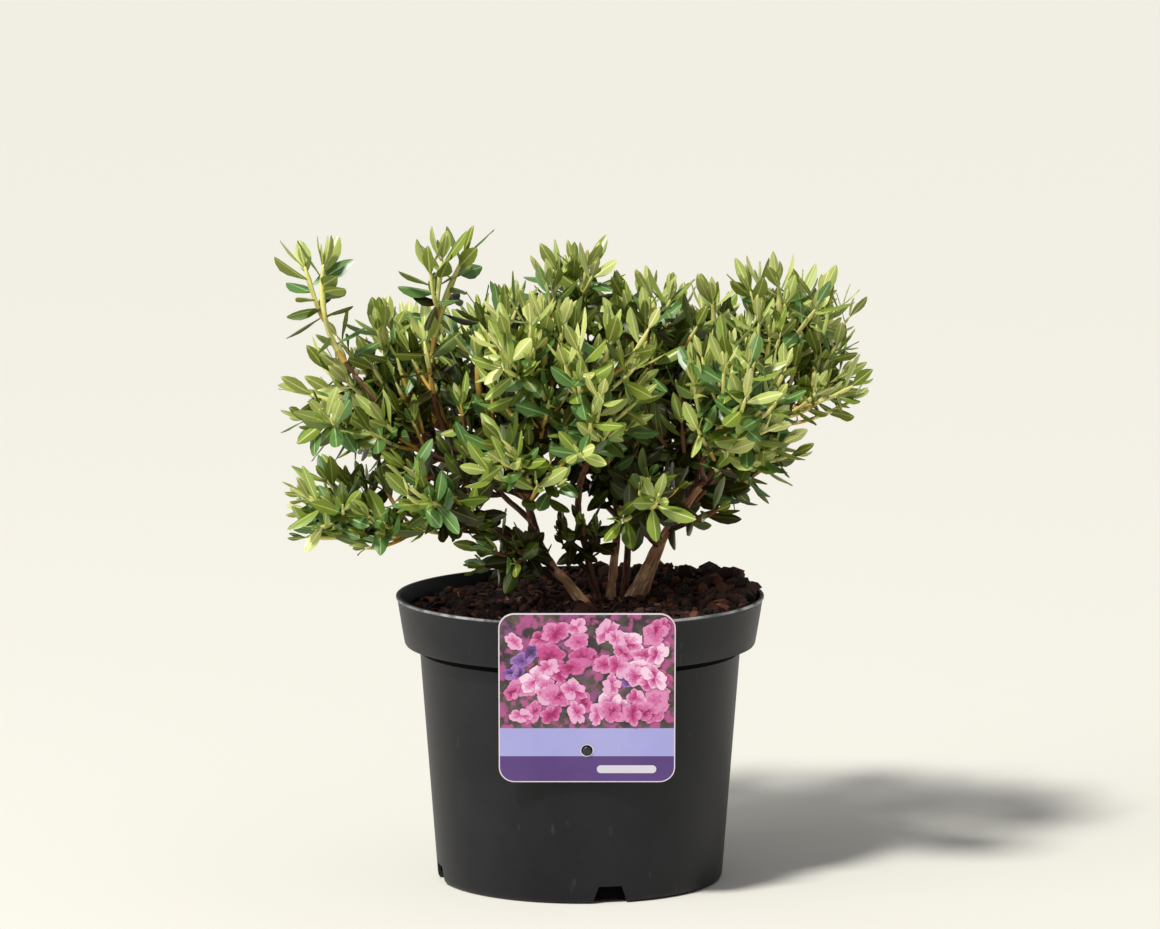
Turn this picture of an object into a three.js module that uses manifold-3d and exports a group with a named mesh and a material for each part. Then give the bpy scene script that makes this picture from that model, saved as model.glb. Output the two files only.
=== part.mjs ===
// A dwarf rhododendron in a round nursery pot, with its compost and its picture label.
//
// Millimetres, +Z up. The origin is the middle of the pot's flat underside, and the label hangs
// on the front, towards -Y. Six stems rise from the compost, each bough leaves a stem or another
// bough, and each mass of foliage grows by one seeded rule from a bough's tip or a stem's side.

import * as THREE from "three";
import { mergeVertices } from "three/addons/utils/BufferGeometryUtils.js";
import Module from "manifold-3d";

const wasm = await Module();
wasm.setup();
const { Manifold, Mesh: SolidMesh } = wasm;

// ---------------------------------------------------------------- driving dimensions

const GAP = 0.3; // clearance between neighbouring pieces
const WELD = 1e-3; // vertices closer than this are one

const POT = {
  height: 148,
  rimRadius: 95,
  skirtHeight: 25.5,
  skirtFootRadius: 90.6,
  shoulderRadius: 82.9,
  baseRadius: 73.9,
  wall: 1.4,
  floor: 1.8,
  segments: 36,
};
const NOTCH = { count: 4, firstAngle: 12, height: 9, foot: 19, crown: 12, reach: 15 };
const SOIL = { centreHeight: 142.7, padRadius: 27, rise: 5.5, rearRise: 2, lump: 1.3, segments: 32 };
const LABEL = { width: 89, height: 90, corner: 8, thickness: 0.8, top: 153.5, x: 3.5, hole: 2.9 };
const STUD = { headRadius: 2.3, shankRadius: 1.4, head: 1.2, fromFoot: 17 };

// Foliage: larger leaves than life, because there are fewer of them.
const LEAF = { length: 31, width: 12, roof: 0.24, curl: 0.02 };
const LEADER_STEPS = 4;
const SHOOT_STEPS = 2;
const TWIG = { root: 1.3, side: 0.55, tip: 0.45 };
const TOP_LEAF = 0.88; // how much of its length the topmost leaf rises over the leader's end
const LEAF_SIZES = [1, 0.82, 0.66]; // tried in turn where space is short
const LEAF_SEAT = 0.15; // from a shoot's axis to a leaf's root, inside the shoot
const LEAF_STEP = 2.6; // along a shoot, from one leaf to the next
const SHOOT_RISE = 18; // how far a side shoot goes on along its leader
const SHOOT_LIFT = 5; // and straight up
const GOLDEN_ANGLE = THREE.MathUtils.degToRad(137.5);

// Stems stand on the compost; each has a foot, a place it passes and a top, with root and top
// radius. The plant's middle is a little right of the pot's.
const STEMS = [
  { name: "stem_left", foot: [2, 0], via: [-19, -4, 171], to: [-28, -8, 200], radius: [2.8, 1.9] },
  { name: "stem_centre", foot: [9, 9], via: [-1, -8, 194], to: [5, -55, 230], radius: [2.1, 1.3] },
  { name: "stem_back", foot: [16, 16], via: [19, 24, 200], to: [1, 26, 250], radius: [2.3, 1.3] },
  { name: "stem_right", foot: [25, 5], via: [46, -2, 183], to: [79, -12, 228], radius: [3.0, 1.7] },
  { name: "stem_rear_right", foot: [32, 15], via: [50, 40, 186], to: [75, 60, 233], radius: [2.3, 1.3] },
  { name: "stem_rear", foot: [23, 24], via: [27, 48, 186], to: [31, 76, 232], radius: [2.0, 1.2] },
];

// Boughs leave the limb `on` at a share of its length, by way of one place to their tip.
function bough(place, on, at, via, to, radius) {
  return { name: `bough_${place}`, on, at, via, to, radius };
}

const BOUGHS = [
  bough("left_rise", "stem_left", 1, [-49, -10, 209], [-64, -14, 228], [1.8, 1.2]),
  bough("left_low", "stem_left", 0.55, [-50, -24, 187], [-90, -35, 186], [1.7, 1.1]),
  bough("left_shelf", "bough_left_rise", 0.5, [-72, -17, 221], [-95, -25, 236], [1.3, 1]),
  bough("left_crest", "bough_left_rise", 0.72, [-74, 0, 228], [-86, 6, 241], [1.3, 1]),
  bough("far_left", "bough_left_shelf", 0.6, [-101, -21, 247], [-120, -20, 271], [1.1, 0.9]),
  bough("centre_left", "stem_left", 0.86, [-25, -32, 210], [-21, -50, 231], [1.6, 1.1]),
  bough("centre_low", "stem_left", 0.7, [-26, -38, 193], [-26, -60, 214], [1.3, 0.9]),
  bough("crest_left", "stem_back", 0.5, [-8, 32, 222], [-30, 31, 240], [1.4, 1]),
  bough("crest_right", "stem_back", 0.6, [30, 16, 228], [36, 10, 244], [1.3, 1]),
  bough("right_low", "stem_right", 0.88, [70, -25, 218], [74, -37, 224], [1.3, 0.9]),
  bough("far_right", "stem_right", 1, [97, -15, 236], [112, -15, 249], [1.5, 1]),
  bough("right_top", "stem_right", 0.94, [85, -6, 244], [93, -5, 258], [1.4, 1]),
  bough("right_corner", "bough_right_top", 0.4, [101, 14, 249], [113, 28, 260], [1.2, 0.9]),
  bough("right_crest", "stem_right", 0.7, [60, 12, 220], [66, 24, 240], [1.5, 1]),
  bough("right_front", "stem_right", 0.76, [62, -34, 219], [68, -55, 236], [1.5, 1]),
  bough("low_front", "stem_right", 0.33, [31, -28, 187], [31, -51, 204], [1.3, 0.9]),
  bough("back_left", "stem_left", 0.78, [-48, 25, 204], [-72, 56, 229], [1.6, 1.1]),
  bough("back_centre", "stem_back", 0.38, [-4, 50, 205], [-30, 74, 234], [1.5, 1.1]),
];

// Foliage masses grow from a limb's tip, or from its side at the share `at`. `top` is the point
// their topmost leaf reaches, `spread` how far their side shoots reach out. The leader carries two
// leaves more than a side shoot.
function mass(name, on, top, given) {
  return { name, on, top, at: 1, leaves: 4, size: 1, ...given };
}

const MASSES = [
  mass("far_left_spire", "bough_far_left", [-134, -20, 336], { spread: 6, shoots: 1 }),
  mass("left_shelf", "bough_left_shelf", [-152, -36, 263], { spread: 22, shoots: 4 }),
  mass("low_left", "bough_left_low", [-141, -42, 222], { spread: 24, shoots: 4 }),
  mass("left_crest", "bough_left_crest", [-106, 4, 303], { spread: 22, shoots: 3 }),
  mass("tall_spire", "bough_left_rise", [-58, -15, 341], { spread: 7, shoots: 2 }),
  mass("mid_left", "bough_left_low", [-98, -76, 232], { at: 0.5, spread: 24, shoots: 4 }),
  mass("inner_left", "bough_left_rise", [-54, -34, 290], { at: 0.45, spread: 19, shoots: 3 }),
  mass("centre_left", "bough_centre_left", [-18, -66, 314], { spread: 19, shoots: 4 }),
  mass("centre_front", "stem_centre", [17, -88, 306], { spread: 18, shoots: 3 }),
  mass("crest_left", "bough_crest_left", [-33, 28, 309], { spread: 18, shoots: 3 }),
  mass("crest_centre", "stem_back", [-3, 25, 329], { spread: 10, shoots: 3 }),
  mass("crest_right", "bough_crest_right", [37, 4, 318], { spread: 18, shoots: 3 }),
  mass("right_crest", "bough_right_crest", [69, 26, 313], { spread: 18, shoots: 3 }),
  mass("right_top", "bough_right_top", [104, -8, 325], { spread: 13, shoots: 3 }),
  mass("right_corner", "bough_right_corner", [113, 31, 315], { spread: 10, shoots: 3 }),
  mass("far_right", "bough_far_right", [127, -15, 294], { spread: 9, shoots: 3, size: 0.95 }),
  mass("right_front", "bough_right_front", [77, -78, 298], { spread: 18, shoots: 3 }),
  mass("right_low", "bough_right_low", [95, -65, 260], { spread: 15, shoots: 3 }),
  mass("inner_right", "stem_right", [50, -26, 270], { at: 0.62, spread: 19, shoots: 3 }),
  mass("centre_low", "bough_centre_low", [-46, -88, 250], { spread: 18, shoots: 3 }),
  mass("low_front", "bough_low_front", [38, -84, 228], { spread: 16, shoots: 3 }),
  mass("centre_inner", "stem_back", [-8, -6, 258], { at: 0.42, spread: 20, shoots: 3 }),
  mass("back_left", "bough_back_left", [-97, 88, 292], { spread: 21, shoots: 3 }),
  mass("back_centre", "bough_back_centre", [-42, 108, 297], { spread: 21, shoots: 3 }),
  mass("back_right", "stem_rear", [34, 110, 303], { spread: 21, shoots: 3 }),
  mass("rear_right", "stem_rear_right", [98, 88, 297], { spread: 21, shoots: 3 }),
  mass("inner_back", "stem_rear", [6, 64, 270], { at: 0.5, spread: 19, shoots: 3 }),
  mass("low_back_left", "bough_back_left", [-122, 62, 232], { at: 0.45, spread: 19, shoots: 3 }),
  mass("low_back_right", "stem_rear_right", [107, 82, 240], { at: 0.5, spread: 16, shoots: 3 }),
  mass("low_inner", "stem_centre", [0, -26, 195], {
    at: 0.2, spread: 16, shoots: 3, leaves: 3, size: 0.8,
  }),
  mass("low_centre", "stem_left", [-50, -42, 190], {
    at: 0.42, spread: 14, shoots: 3, leaves: 3, size: 0.8,
  }),
  mass("low_right_twig", "stem_right", [79, -32, 200], {
    at: 0.42, spread: 8, shoots: 2, leaves: 3, size: 0.75,
  }),
];

// ---------------------------------------------------------------- solids

// A closed manifold from a three.js geometry, whichever way its faces were wound.
function solidOf(geometry) {
  const bare = geometry.clone();
  bare.deleteAttribute("normal");
  bare.deleteAttribute("uv");
  const welded = mergeVertices(bare, WELD);
  const corners = welded.index.array;
  const kept = [];
  for (let i = 0; i < corners.length; i += 3) {
    const [a, b, c] = corners.slice(i, i + 3);
    if (a !== b && b !== c && c !== a) kept.push(a, b, c);
  }
  const vertProperties = Float32Array.from(welded.attributes.position.array);
  const build = (triangles) =>
    new Manifold(new SolidMesh({ numProp: 3, vertProperties, triVerts: Uint32Array.from(triangles) }));
  const solid = build(kept);
  if (solid.volume() > 0) return solid;
  for (let i = 0; i < kept.length; i += 3) [kept[i], kept[i + 1]] = [kept[i + 1], kept[i]];
  return build(kept);
}

function geometryOf(solid) {
  const { vertProperties, triVerts, numProp } = solid.getMesh();
  const geometry = new THREE.BufferGeometry();
  const positions = new Float32Array((vertProperties.length / numProp) * 3);
  for (let i = 0; i < positions.length / 3; i += 1) {
    for (let k = 0; k < 3; k += 1) positions[i * 3 + k] = vertProperties[i * numProp + k];
  }
  geometry.setAttribute("position", new THREE.BufferAttribute(positions, 3));
  geometry.setIndex(new THREE.BufferAttribute(Uint32Array.from(triVerts), 1));
  return geometry;
}

// Trimming can leave a scrap behind or seal a small hollow: only the largest body is kept.
function largestBody(solid) {
  const bodies = solid.decompose().sort((a, b) => b.volume() - a.volume());
  return bodies[0];
}

function piece(name, solid, look) {
  const material = new THREE.MeshStandardMaterial(look);
  const mesh = new THREE.Mesh(geometryOf(solid), material);
  mesh.name = name;
  return mesh;
}

// A lathe about Z from (radius, height) pairs.
function turned(profile, segments) {
  const points = profile.map(([radius, height]) => new THREE.Vector2(radius, height));
  return new THREE.LatheGeometry(points, segments).rotateX(Math.PI / 2);
}

const LOOKS = {
  pot: { color: 0x24272b, roughness: 0.45, metalness: 0 },
  soil: { color: 0x2e1f18, roughness: 1, metalness: 0 },
  label: { color: 0xb04a93, roughness: 0.35, metalness: 0 },
  stud: { color: 0x15161a, roughness: 0.5, metalness: 0 },
  bark: { color: 0x7a5238, roughness: 0.85, metalness: 0 },
  leaf: { color: 0x6f8f37, roughness: 0.5, metalness: 0 },
};

// ---------------------------------------------------------------- pot and compost

const shoulderHeight = POT.height - POT.skirtHeight;

// The inside of the skirt leans out to the rim.
function skirtInside(height) {
  const share = (height - shoulderHeight) / POT.skirtHeight;
  return THREE.MathUtils.lerp(POT.skirtFootRadius, POT.rimRadius - 0.8, share) - POT.wall;
}

function drainNotch(angle) {
  const side = new THREE.Shape([
    new THREE.Vector2(-NOTCH.foot / 2, -1),
    new THREE.Vector2(NOTCH.foot / 2, -1),
    new THREE.Vector2(NOTCH.crown / 2, NOTCH.height),
    new THREE.Vector2(-NOTCH.crown / 2, NOTCH.height),
  ]);
  const start = POT.baseRadius - NOTCH.reach;
  const wallCut = new THREE.ExtrudeGeometry(side, { depth: NOTCH.reach + 5, bevelEnabled: false });
  wallCut.rotateX(Math.PI / 2).translate(0, -start, 0);
  const floorCut = new THREE.CylinderGeometry(NOTCH.foot / 2, NOTCH.foot / 2, POT.floor + 3, 20);
  floorCut.rotateX(Math.PI / 2).translate(0, -start, POT.floor / 2);
  const turn = THREE.MathUtils.degToRad(angle);
  return solidOf(wallCut.rotateZ(turn)).add(solidOf(floorCut.rotateZ(turn)));
}

function makePot() {
  const { height, rimRadius, skirtFootRadius, shoulderRadius, baseRadius, wall, floor } = POT;
  const lipInside = skirtInside(height);
  const profile = [
    [0, 0],
    [baseRadius - 2.5, 0],
    [baseRadius, 2.5],
    [shoulderRadius, shoulderHeight],
    [skirtFootRadius - 1, shoulderHeight],
    [skirtFootRadius, shoulderHeight + 1.4],
    [rimRadius - 0.8, height - 1.9],
    [rimRadius, height - 1.3],
    [rimRadius, height - 0.5],
    [rimRadius - 0.5, height],
    [lipInside + 0.5, height],
    [lipInside, height - 0.6],
    [skirtInside(shoulderHeight + 2.6), shoulderHeight + 2.6],
    [skirtFootRadius - 2.4, shoulderHeight + wall],
    [shoulderRadius - wall, shoulderHeight + wall],
    [baseRadius - wall, floor + 2.2],
    [baseRadius - wall - 2, floor],
    [0, floor],
  ];
  let pot = solidOf(turned(profile, POT.segments));
  for (let i = 0; i < NOTCH.count; i += 1) {
    pot = pot.subtract(drainNotch(NOTCH.firstAngle + (i * 360) / NOTCH.count));
  }
  return piece("pot", largestBody(pot), LOOKS.pot);
}

// The compost is level around the stems, low on the left and heaped on the right and the back.
function soilHeight(x, y) {
  const away = Math.hypot(x - 14, y - 8) - SOIL.padRadius;
  const share = THREE.MathUtils.smoothstep(away, 0, 25);
  const heap = (SOIL.rise * x + SOIL.rearRise * y) / POT.rimRadius;
  const lumps = Math.sin(x / 7 + 1.3) * Math.cos(y / 6 - 0.4) + 0.6 * Math.sin((x + y) / 4.1);
  return SOIL.centreHeight + share * (heap + SOIL.lump * lumps);
}

function makeSoil() {
  const bottom = POT.floor + GAP;
  const side = POT.wall + GAP + 0.1;
  const ledge = shoulderHeight + POT.wall + GAP;
  const profile = [
    [0, bottom],
    [POT.baseRadius - side - 2.1, bottom],
    [POT.baseRadius - side, bottom + 2.2],
    [POT.shoulderRadius - side, ledge],
    [POT.skirtFootRadius - side - 1.2, ledge],
    [skirtInside(ledge + 6) - GAP, ledge + 6],
  ];
  const rings = [88.5, 80, 69, 58, 47, 37, 27, 0];
  for (const radius of rings) profile.push([radius, POT.height]);
  const geometry = turned(profile, SOIL.segments);
  const place = geometry.attributes.position;
  for (let i = 0; i < place.count; i += 1) {
    if (place.getZ(i) > POT.height - 1) place.setZ(i, soilHeight(place.getX(i), place.getY(i)));
  }
  return piece("soil", solidOf(geometry), LOOKS.soil);
}

// ---------------------------------------------------------------- label and its stud

// The label leans like the skirt it rests on. Its own frame has x across, y up and z to the front.
const labelLean = Math.atan2(POT.rimRadius - POT.skirtFootRadius, POT.skirtHeight);

function hangOnSkirt(geometry) {
  const topFront = -(POT.rimRadius + GAP) - (LABEL.top - POT.height) * Math.tan(labelLean);
  geometry.rotateX(Math.PI / 2 + labelLean);
  return geometry.translate(LABEL.x, topFront, LABEL.top);
}

function makeLabel() {
  const { width, height, corner, thickness } = LABEL;
  const left = -width / 2;
  const bottom = -height;
  const outline = new THREE.Shape();
  outline.moveTo(left + corner, bottom);
  outline.absarc(-left - corner, bottom + corner, corner, -Math.PI / 2, 0);
  outline.absarc(-left - corner, -corner, corner, 0, Math.PI / 2);
  outline.absarc(left + corner, -corner, corner, Math.PI / 2, Math.PI);
  outline.absarc(left + corner, bottom + corner, corner, Math.PI, 1.5 * Math.PI);
  const hole = new THREE.Path();
  hole.absarc(0, bottom + STUD.fromFoot, LABEL.hole, 0, 2 * Math.PI, true);
  outline.holes.push(hole);
  const card = new THREE.ExtrudeGeometry(outline, {
    depth: thickness,
    bevelEnabled: false,
    curveSegments: 4,
  });
  return piece("label", solidOf(hangOnSkirt(card)), LOOKS.label);
}

// A push stud through the label's hole; its shank ends just off the pot's wall.
function makeStud() {
  const shank = 3.1;
  const face = LABEL.thickness + GAP;
  const profile = [
    [0, -shank],
    [STUD.shankRadius, -shank],
    [STUD.shankRadius, face],
    [STUD.headRadius, face],
    [STUD.headRadius * 0.8, face + STUD.head * 0.8],
    [0, face + STUD.head],
  ];
  const stud = turned(profile, 14).translate(0, -LABEL.height + STUD.fromFoot, 0);
  return piece("label_stud", solidOf(hangOnSkirt(stud)), LOOKS.stud);
}

// ---------------------------------------------------------------- limbs

// A curve followed in straight steps: its points, and the frames of the sections between them.
function follow(curve, steps) {
  const points = curve.getSpacedPoints(steps);
  const frames = curve.computeFrenetFrames(steps, false);
  const length = points.slice(1).reduce((sum, point, i) => sum + point.distanceTo(points[i]), 0);
  return { points, frames, steps, length };
}

function placeOn({ points, steps }, share) {
  const step = Math.min(Math.floor(share * steps), steps - 1);
  return points[step].clone().lerp(points[step + 1], share * steps - step);
}

function headingOn({ points, steps }, share) {
  const step = Math.min(Math.floor(share * steps), steps - 1);
  return points[step + 1].clone().sub(points[step]).normalize();
}

// A tapering round limb: a cylinder bent along its course.
function limbGeometry({ points, frames, steps }, rootRadius, tipRadius, sides) {
  const geometry = new THREE.CylinderGeometry(tipRadius, rootRadius, 1, sides, steps);
  const place = geometry.attributes.position;
  const moved = new THREE.Vector3();
  for (let i = 0; i < place.count; i += 1) {
    const step = Math.round((place.getY(i) + 0.5) * steps);
    moved.copy(points[step]);
    moved.addScaledVector(frames.normals[step], place.getX(i));
    moved.addScaledVector(frames.binormals[step], place.getZ(i));
    place.setXYZ(i, moved.x, moved.y, moved.z);
  }
  return geometry;
}

const limbs = new Map();

function addLimb({ name, foot, on, at, via, to, radius }, sides, steps) {
  const start = foot
    ? new THREE.Vector3(foot[0], foot[1], SOIL.centreHeight + GAP)
    : placeOn(limbs.get(on).course, at);
  const stops = [start, new THREE.Vector3(...via), new THREE.Vector3(...to)];
  const course = follow(new THREE.CatmullRomCurve3(stops, false, "centripetal"), steps);
  limbs.set(name, { name, course, radius, sides, foot });
}

for (const stem of STEMS) addLimb(stem, 7, 6);
for (const bough of BOUGHS) addLimb(bough, 5, 4);

const radiusAt = (limb, share) => THREE.MathUtils.lerp(limb.radius[0], limb.radius[1], share);

// The limb's solid, grown on all sides by `growth` and past its tip by as much.
function limbSolid({ course, radius, sides }, growth = 0) {
  const body = solidOf(limbGeometry(course, radius[0] + growth, radius[1] + growth, sides));
  if (!growth) return body;
  const tip = course.points[course.steps];
  const ahead = course.frames.tangents[course.steps];
  const end = new THREE.LineCurve3(
    tip.clone().addScaledVector(ahead, -radius[1]),
    tip.clone().addScaledVector(ahead, growth),
  );
  const cap = limbGeometry(follow(end, 1), radius[1] + growth, radius[1] + growth, sides);
  return body.add(solidOf(cap));
}

// Everything of a stem below its foot is cut off level.
function levelFoot(limb, solid) {
  const floor = SOIL.centreHeight + GAP;
  return limb.foot ? solid.trimByPlane([0, 0, 1], floor) : solid;
}

function makeLimbs() {
  const made = [];
  const meshes = [];
  for (const limb of limbs.values()) {
    let solid = levelFoot(limb, limbSolid(limb));
    for (const earlier of made) solid = solid.subtract(earlier.grown);
    meshes.push(piece(limb.name, largestBody(solid), LOOKS.bark));
    made.push({ grown: limbSolid(limb, GAP) });
  }
  return meshes;
}

// ---------------------------------------------------------------- foliage

// The mulberry32 generator: the same seed always grows the same mass.
function seeded(seed) {
  let state = seed >>> 0;
  return () => {
    state = (state + 0x6d2b79f5) >>> 0;
    let mixed = Math.imul(state ^ (state >>> 15), state | 1);
    mixed = (mixed + Math.imul(mixed ^ (mixed >>> 7), mixed | 61)) ^ mixed;
    return ((mixed ^ (mixed >>> 14)) >>> 0) / 4294967296;
  };
}

// Two directions square to `axis`, the first of them as level as can be.
function across(axis) {
  const level = new THREE.Vector3(-axis.y, axis.x, 0);
  if (level.lengthSq() < 1e-6) level.set(1, 0, 0);
  level.normalize();
  return [level, new THREE.Vector3().crossVectors(axis, level).normalize()];
}

const around = ([u, v], angle) =>
  u.clone().multiplyScalar(Math.cos(angle)).addScaledVector(v, Math.sin(angle));

// The mass's own stem: from just past its bough's tip, or a stem's side, up to its top rosette.
function leaderOf(mass) {
  const { course, ...limb } = limbs.get(mass.on);
  const share = mass.at;
  const root = placeOn(course, share);
  const span = new THREE.Vector3(...mass.top).sub(root);
  const length = span.length() - TOP_LEAF * LEAF.length * mass.size;
  span.normalize();
  const ahead = share < 1 ? span : course.frames.tangents[course.steps];
  const clear = share < 1 ? radiusAt(limb, share) + 2 * GAP : GAP;
  const start = root.clone().addScaledVector(ahead, clear);
  const bend = start.clone().addScaledVector(ahead, length * 0.45);
  const end = root.clone().addScaledVector(span, length);
  return follow(new THREE.QuadraticBezierCurve3(start, bend, end), LEADER_STEPS);
}

// Side shoots leave at even steps up the leader, each a golden angle further round; they reach
// out, less so near the top, and turn up at their ends.
function sideShoot(mass, index) {
  const share = 0.04 + (0.78 * (index + 0.5)) / mass.shoots;
  const start = placeOn(mass.leader, share);
  const axis = headingOn(mass.leader, share);
  const out = around(across(axis), mass.turn + index * GOLDEN_ANGLE);
  const reach = mass.spread * (0.8 + 0.4 * mass.random()) * (1.1 - 0.4 * share);
  const rise = SHOOT_RISE * (0.7 + 0.6 * mass.random());
  const finish = start.clone().addScaledVector(out, reach).addScaledVector(axis, rise);
  finish.z += SHOOT_LIFT;
  const bend = start.clone().addScaledVector(out, reach * 0.7).addScaledVector(axis, rise * 0.2);
  return follow(new THREE.QuadraticBezierCurve3(start, bend, finish), SHOOT_STEPS);
}

// The leaf at one place of a shoot. Near the shoot's tip leaves point ahead; lower, they spread.
function leafAt(shoot, share, turn, size, tilt) {
  const axis = headingOn(shoot, share);
  const out = around(across(axis), turn);
  const pitch = THREE.MathUtils.degToRad(THREE.MathUtils.lerp(72, 26, share) + tilt);
  return {
    root: placeOn(shoot, share).addScaledVector(out, LEAF_SEAT),
    ahead: axis.clone().multiplyScalar(Math.cos(pitch)).addScaledVector(out, Math.sin(pitch)),
    face: axis.clone().multiplyScalar(Math.sin(pitch)).addScaledVector(out, -Math.cos(pitch)),
    length: LEAF.length * size,
    width: LEAF.width * size,
  };
}

// A point of the leaf: `along` its midrib and `side` of it as shares. The halves fall away from
// the midrib on both sides, which makes the blade a shallow roof, and the tip curls back.
function leafPoint(leaf, along, side) {
  const { root, ahead, face, length, width } = leaf;
  const sideways = new THREE.Vector3().crossVectors(face, ahead);
  const drop = Math.abs(side) * width * LEAF.roof + along * along * length * LEAF.curl;
  return root
    .clone()
    .addScaledVector(ahead, along * length)
    .addScaledVector(sideways, side * width)
    .addScaledVector(face, -drop);
}

// The blade's corners from its root round to its tip and back, as shares of length and width.
const LEAF_EDGE = [[0, 0], [0.33, 0.45], [0.72, 0.42], [1, 0], [0.72, -0.42], [0.33, -0.45]];
const LEAF_TOP = [0, 3, 1, 1, 3, 2, 0, 5, 3, 5, 4, 3];
const LEAF_UNDERSIDE = [0, 1, 5, 1, 2, 4, 1, 4, 5, 2, 3, 4];

function leafGeometry(leaf) {
  const corners = LEAF_EDGE.map(([along, side]) => leafPoint(leaf, along, side));
  const geometry = new THREE.BufferGeometry().setFromPoints(corners);
  geometry.setIndex([...LEAF_TOP, ...LEAF_UNDERSIDE]);
  return geometry;
}

// Places that are tested on a leaf: its edge and its inside.
function leafSamples(leaf) {
  const places = [];
  for (const along of [0.15, 0.3, 0.45, 0.6, 0.75, 0.9, 1]) {
    const half = 0.44 * Math.sin(Math.PI * Math.min(along, 0.97) ** 0.9);
    for (const side of [-half, -half / 2, 0, half / 2, half]) {
      places.push(leafPoint(leaf, along, side));
    }
  }
  return places;
}

// Space is shared out by the planes between the masses' middles, so that no two masses meet.
for (const [index, mass] of MASSES.entries()) {
  mass.random = seeded(index * 7919 + 17);
  mass.turn = mass.random() * 2 * Math.PI;
  mass.leader = leaderOf(mass);
  mass.middle = placeOn(mass.leader, 0.55);
}

function insideOwnSpace(point, mass) {
  for (const other of MASSES) {
    if (other === mass) continue;
    const between = other.middle.clone().sub(mass.middle);
    const half = between.length() / 2;
    const along = point.clone().sub(mass.middle).dot(between.normalize());
    if (along > half - GAP) return false;
  }
  return true;
}

const limbSamples = [];
for (const limb of limbs.values()) {
  const count = Math.ceil(limb.course.length / 2);
  for (let i = 0; i <= count; i += 1) {
    const share = i / count;
    const point = placeOn(limb.course, share);
    limbSamples.push({ point, radius: radiusAt(limb, share), limb: limb.name, share });
  }
}

function clearOfLimbs(point, room, mass) {
  for (const sample of limbSamples) {
    const ownTip = sample.limb === mass.on && Math.abs(sample.share - mass.at) < 0.12;
    const limit = sample.radius + (ownTip ? GAP : room);
    if (point.distanceToSquared(sample.point) < limit * limit) return false;
  }
  return point.z > POT.height - 6 ? true : Math.hypot(point.x, point.y) > POT.rimRadius + 2;
}

const fits = (points, room, mass) =>
  points.every((point) => insideOwnSpace(point, mass) && clearOfLimbs(point, room, mass));

// Grows one mass: its leader, its side shoots, and on each of them leaves that keep to the mass's
// space, clear of the limbs and of the leaves and shoots already there.
function growMass(mass) {
  const shoots = [];
  const addShoot = (course, rootRadius, count) => {
    shoots.push({ course, count, solid: solidOf(limbGeometry(course, rootRadius, TWIG.tip, 3)) });
  };
  addShoot(mass.leader, TWIG.root, mass.leaves + 2);
  for (let i = 0; i < mass.shoots; i += 1) {
    const course = sideShoot(mass, i);
    const tested = [0.15, 0.3, 0.45, 0.6, 0.75, 0.9, 1].map((share) => placeOn(course, share));
    if (fits(tested, TWIG.root + 1, mass)) addShoot(course, TWIG.side, mass.leaves);
  }
  const leaves = [];
  for (const shoot of shoots) {
    const others = shoots.filter((other) => other !== shoot).map((other) => other.solid);
    const { length } = shoot.course;
    const step = Math.max(LEAF_STEP, (length * 0.8) / shoot.count);
    let turn = mass.random() * 2 * Math.PI;
    let grown = 0;
    for (let back = 0.4; back < length - 3 && grown < shoot.count; turn += GOLDEN_ANGLE) {
      const tilt = 12 * (mass.random() - 0.5);
      const share = 1 - back / length;
      const free = LEAF_SIZES
        .map((size) => leafAt(shoot.course, share, turn, size * mass.size, tilt))
        .filter((leaf) => fits(leafSamples(leaf), 1.6, mass))
        .map((leaf) => solidOf(leafGeometry(leaf)))
        .find((leaf) => [...others, ...leaves].every((other) => leaf.intersect(other).isEmpty()));
      back += free ? step : LEAF_STEP / 2;
      if (!free) continue;
      leaves.push(free);
      grown += 1;
    }
  }
  return { shoots: shoots.map((shoot) => shoot.solid), leaves };
}

function makeMass(mass) {
  const { shoots, leaves } = growMass(mass);
  const fused = Manifold.union([...shoots, ...leaves]);
  const trimmed = fused.subtract(limbSolid(limbs.get(mass.on), GAP));
  return piece(`foliage_${mass.name}`, largestBody(trimmed.simplify(0.05)), LOOKS.leaf);
}

// ---------------------------------------------------------------- the whole

const container = new THREE.Group();
container.add(makePot(), makeSoil(), makeLabel(), makeStud());

const plant = new THREE.Group();
plant.add(...makeLimbs(), ...MASSES.map(makeMass));

const pottedRhododendron = new THREE.Group();
pottedRhododendron.add(container, plant);

export default pottedRhododendron;
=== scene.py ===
"""A dwarf rhododendron in a round nursery pot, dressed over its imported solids.

Sizes are in millimetres, as in the solids, and become metres where a mesh is made. X runs to the
right, Y away from the front and Z up. The origin is the middle of the pot's flat underside.
"""

import math
from contextlib import contextmanager
from types import SimpleNamespace as Sizes

import bpy
import numpy as np
from mathutils import Matrix, Vector, noise


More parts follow.
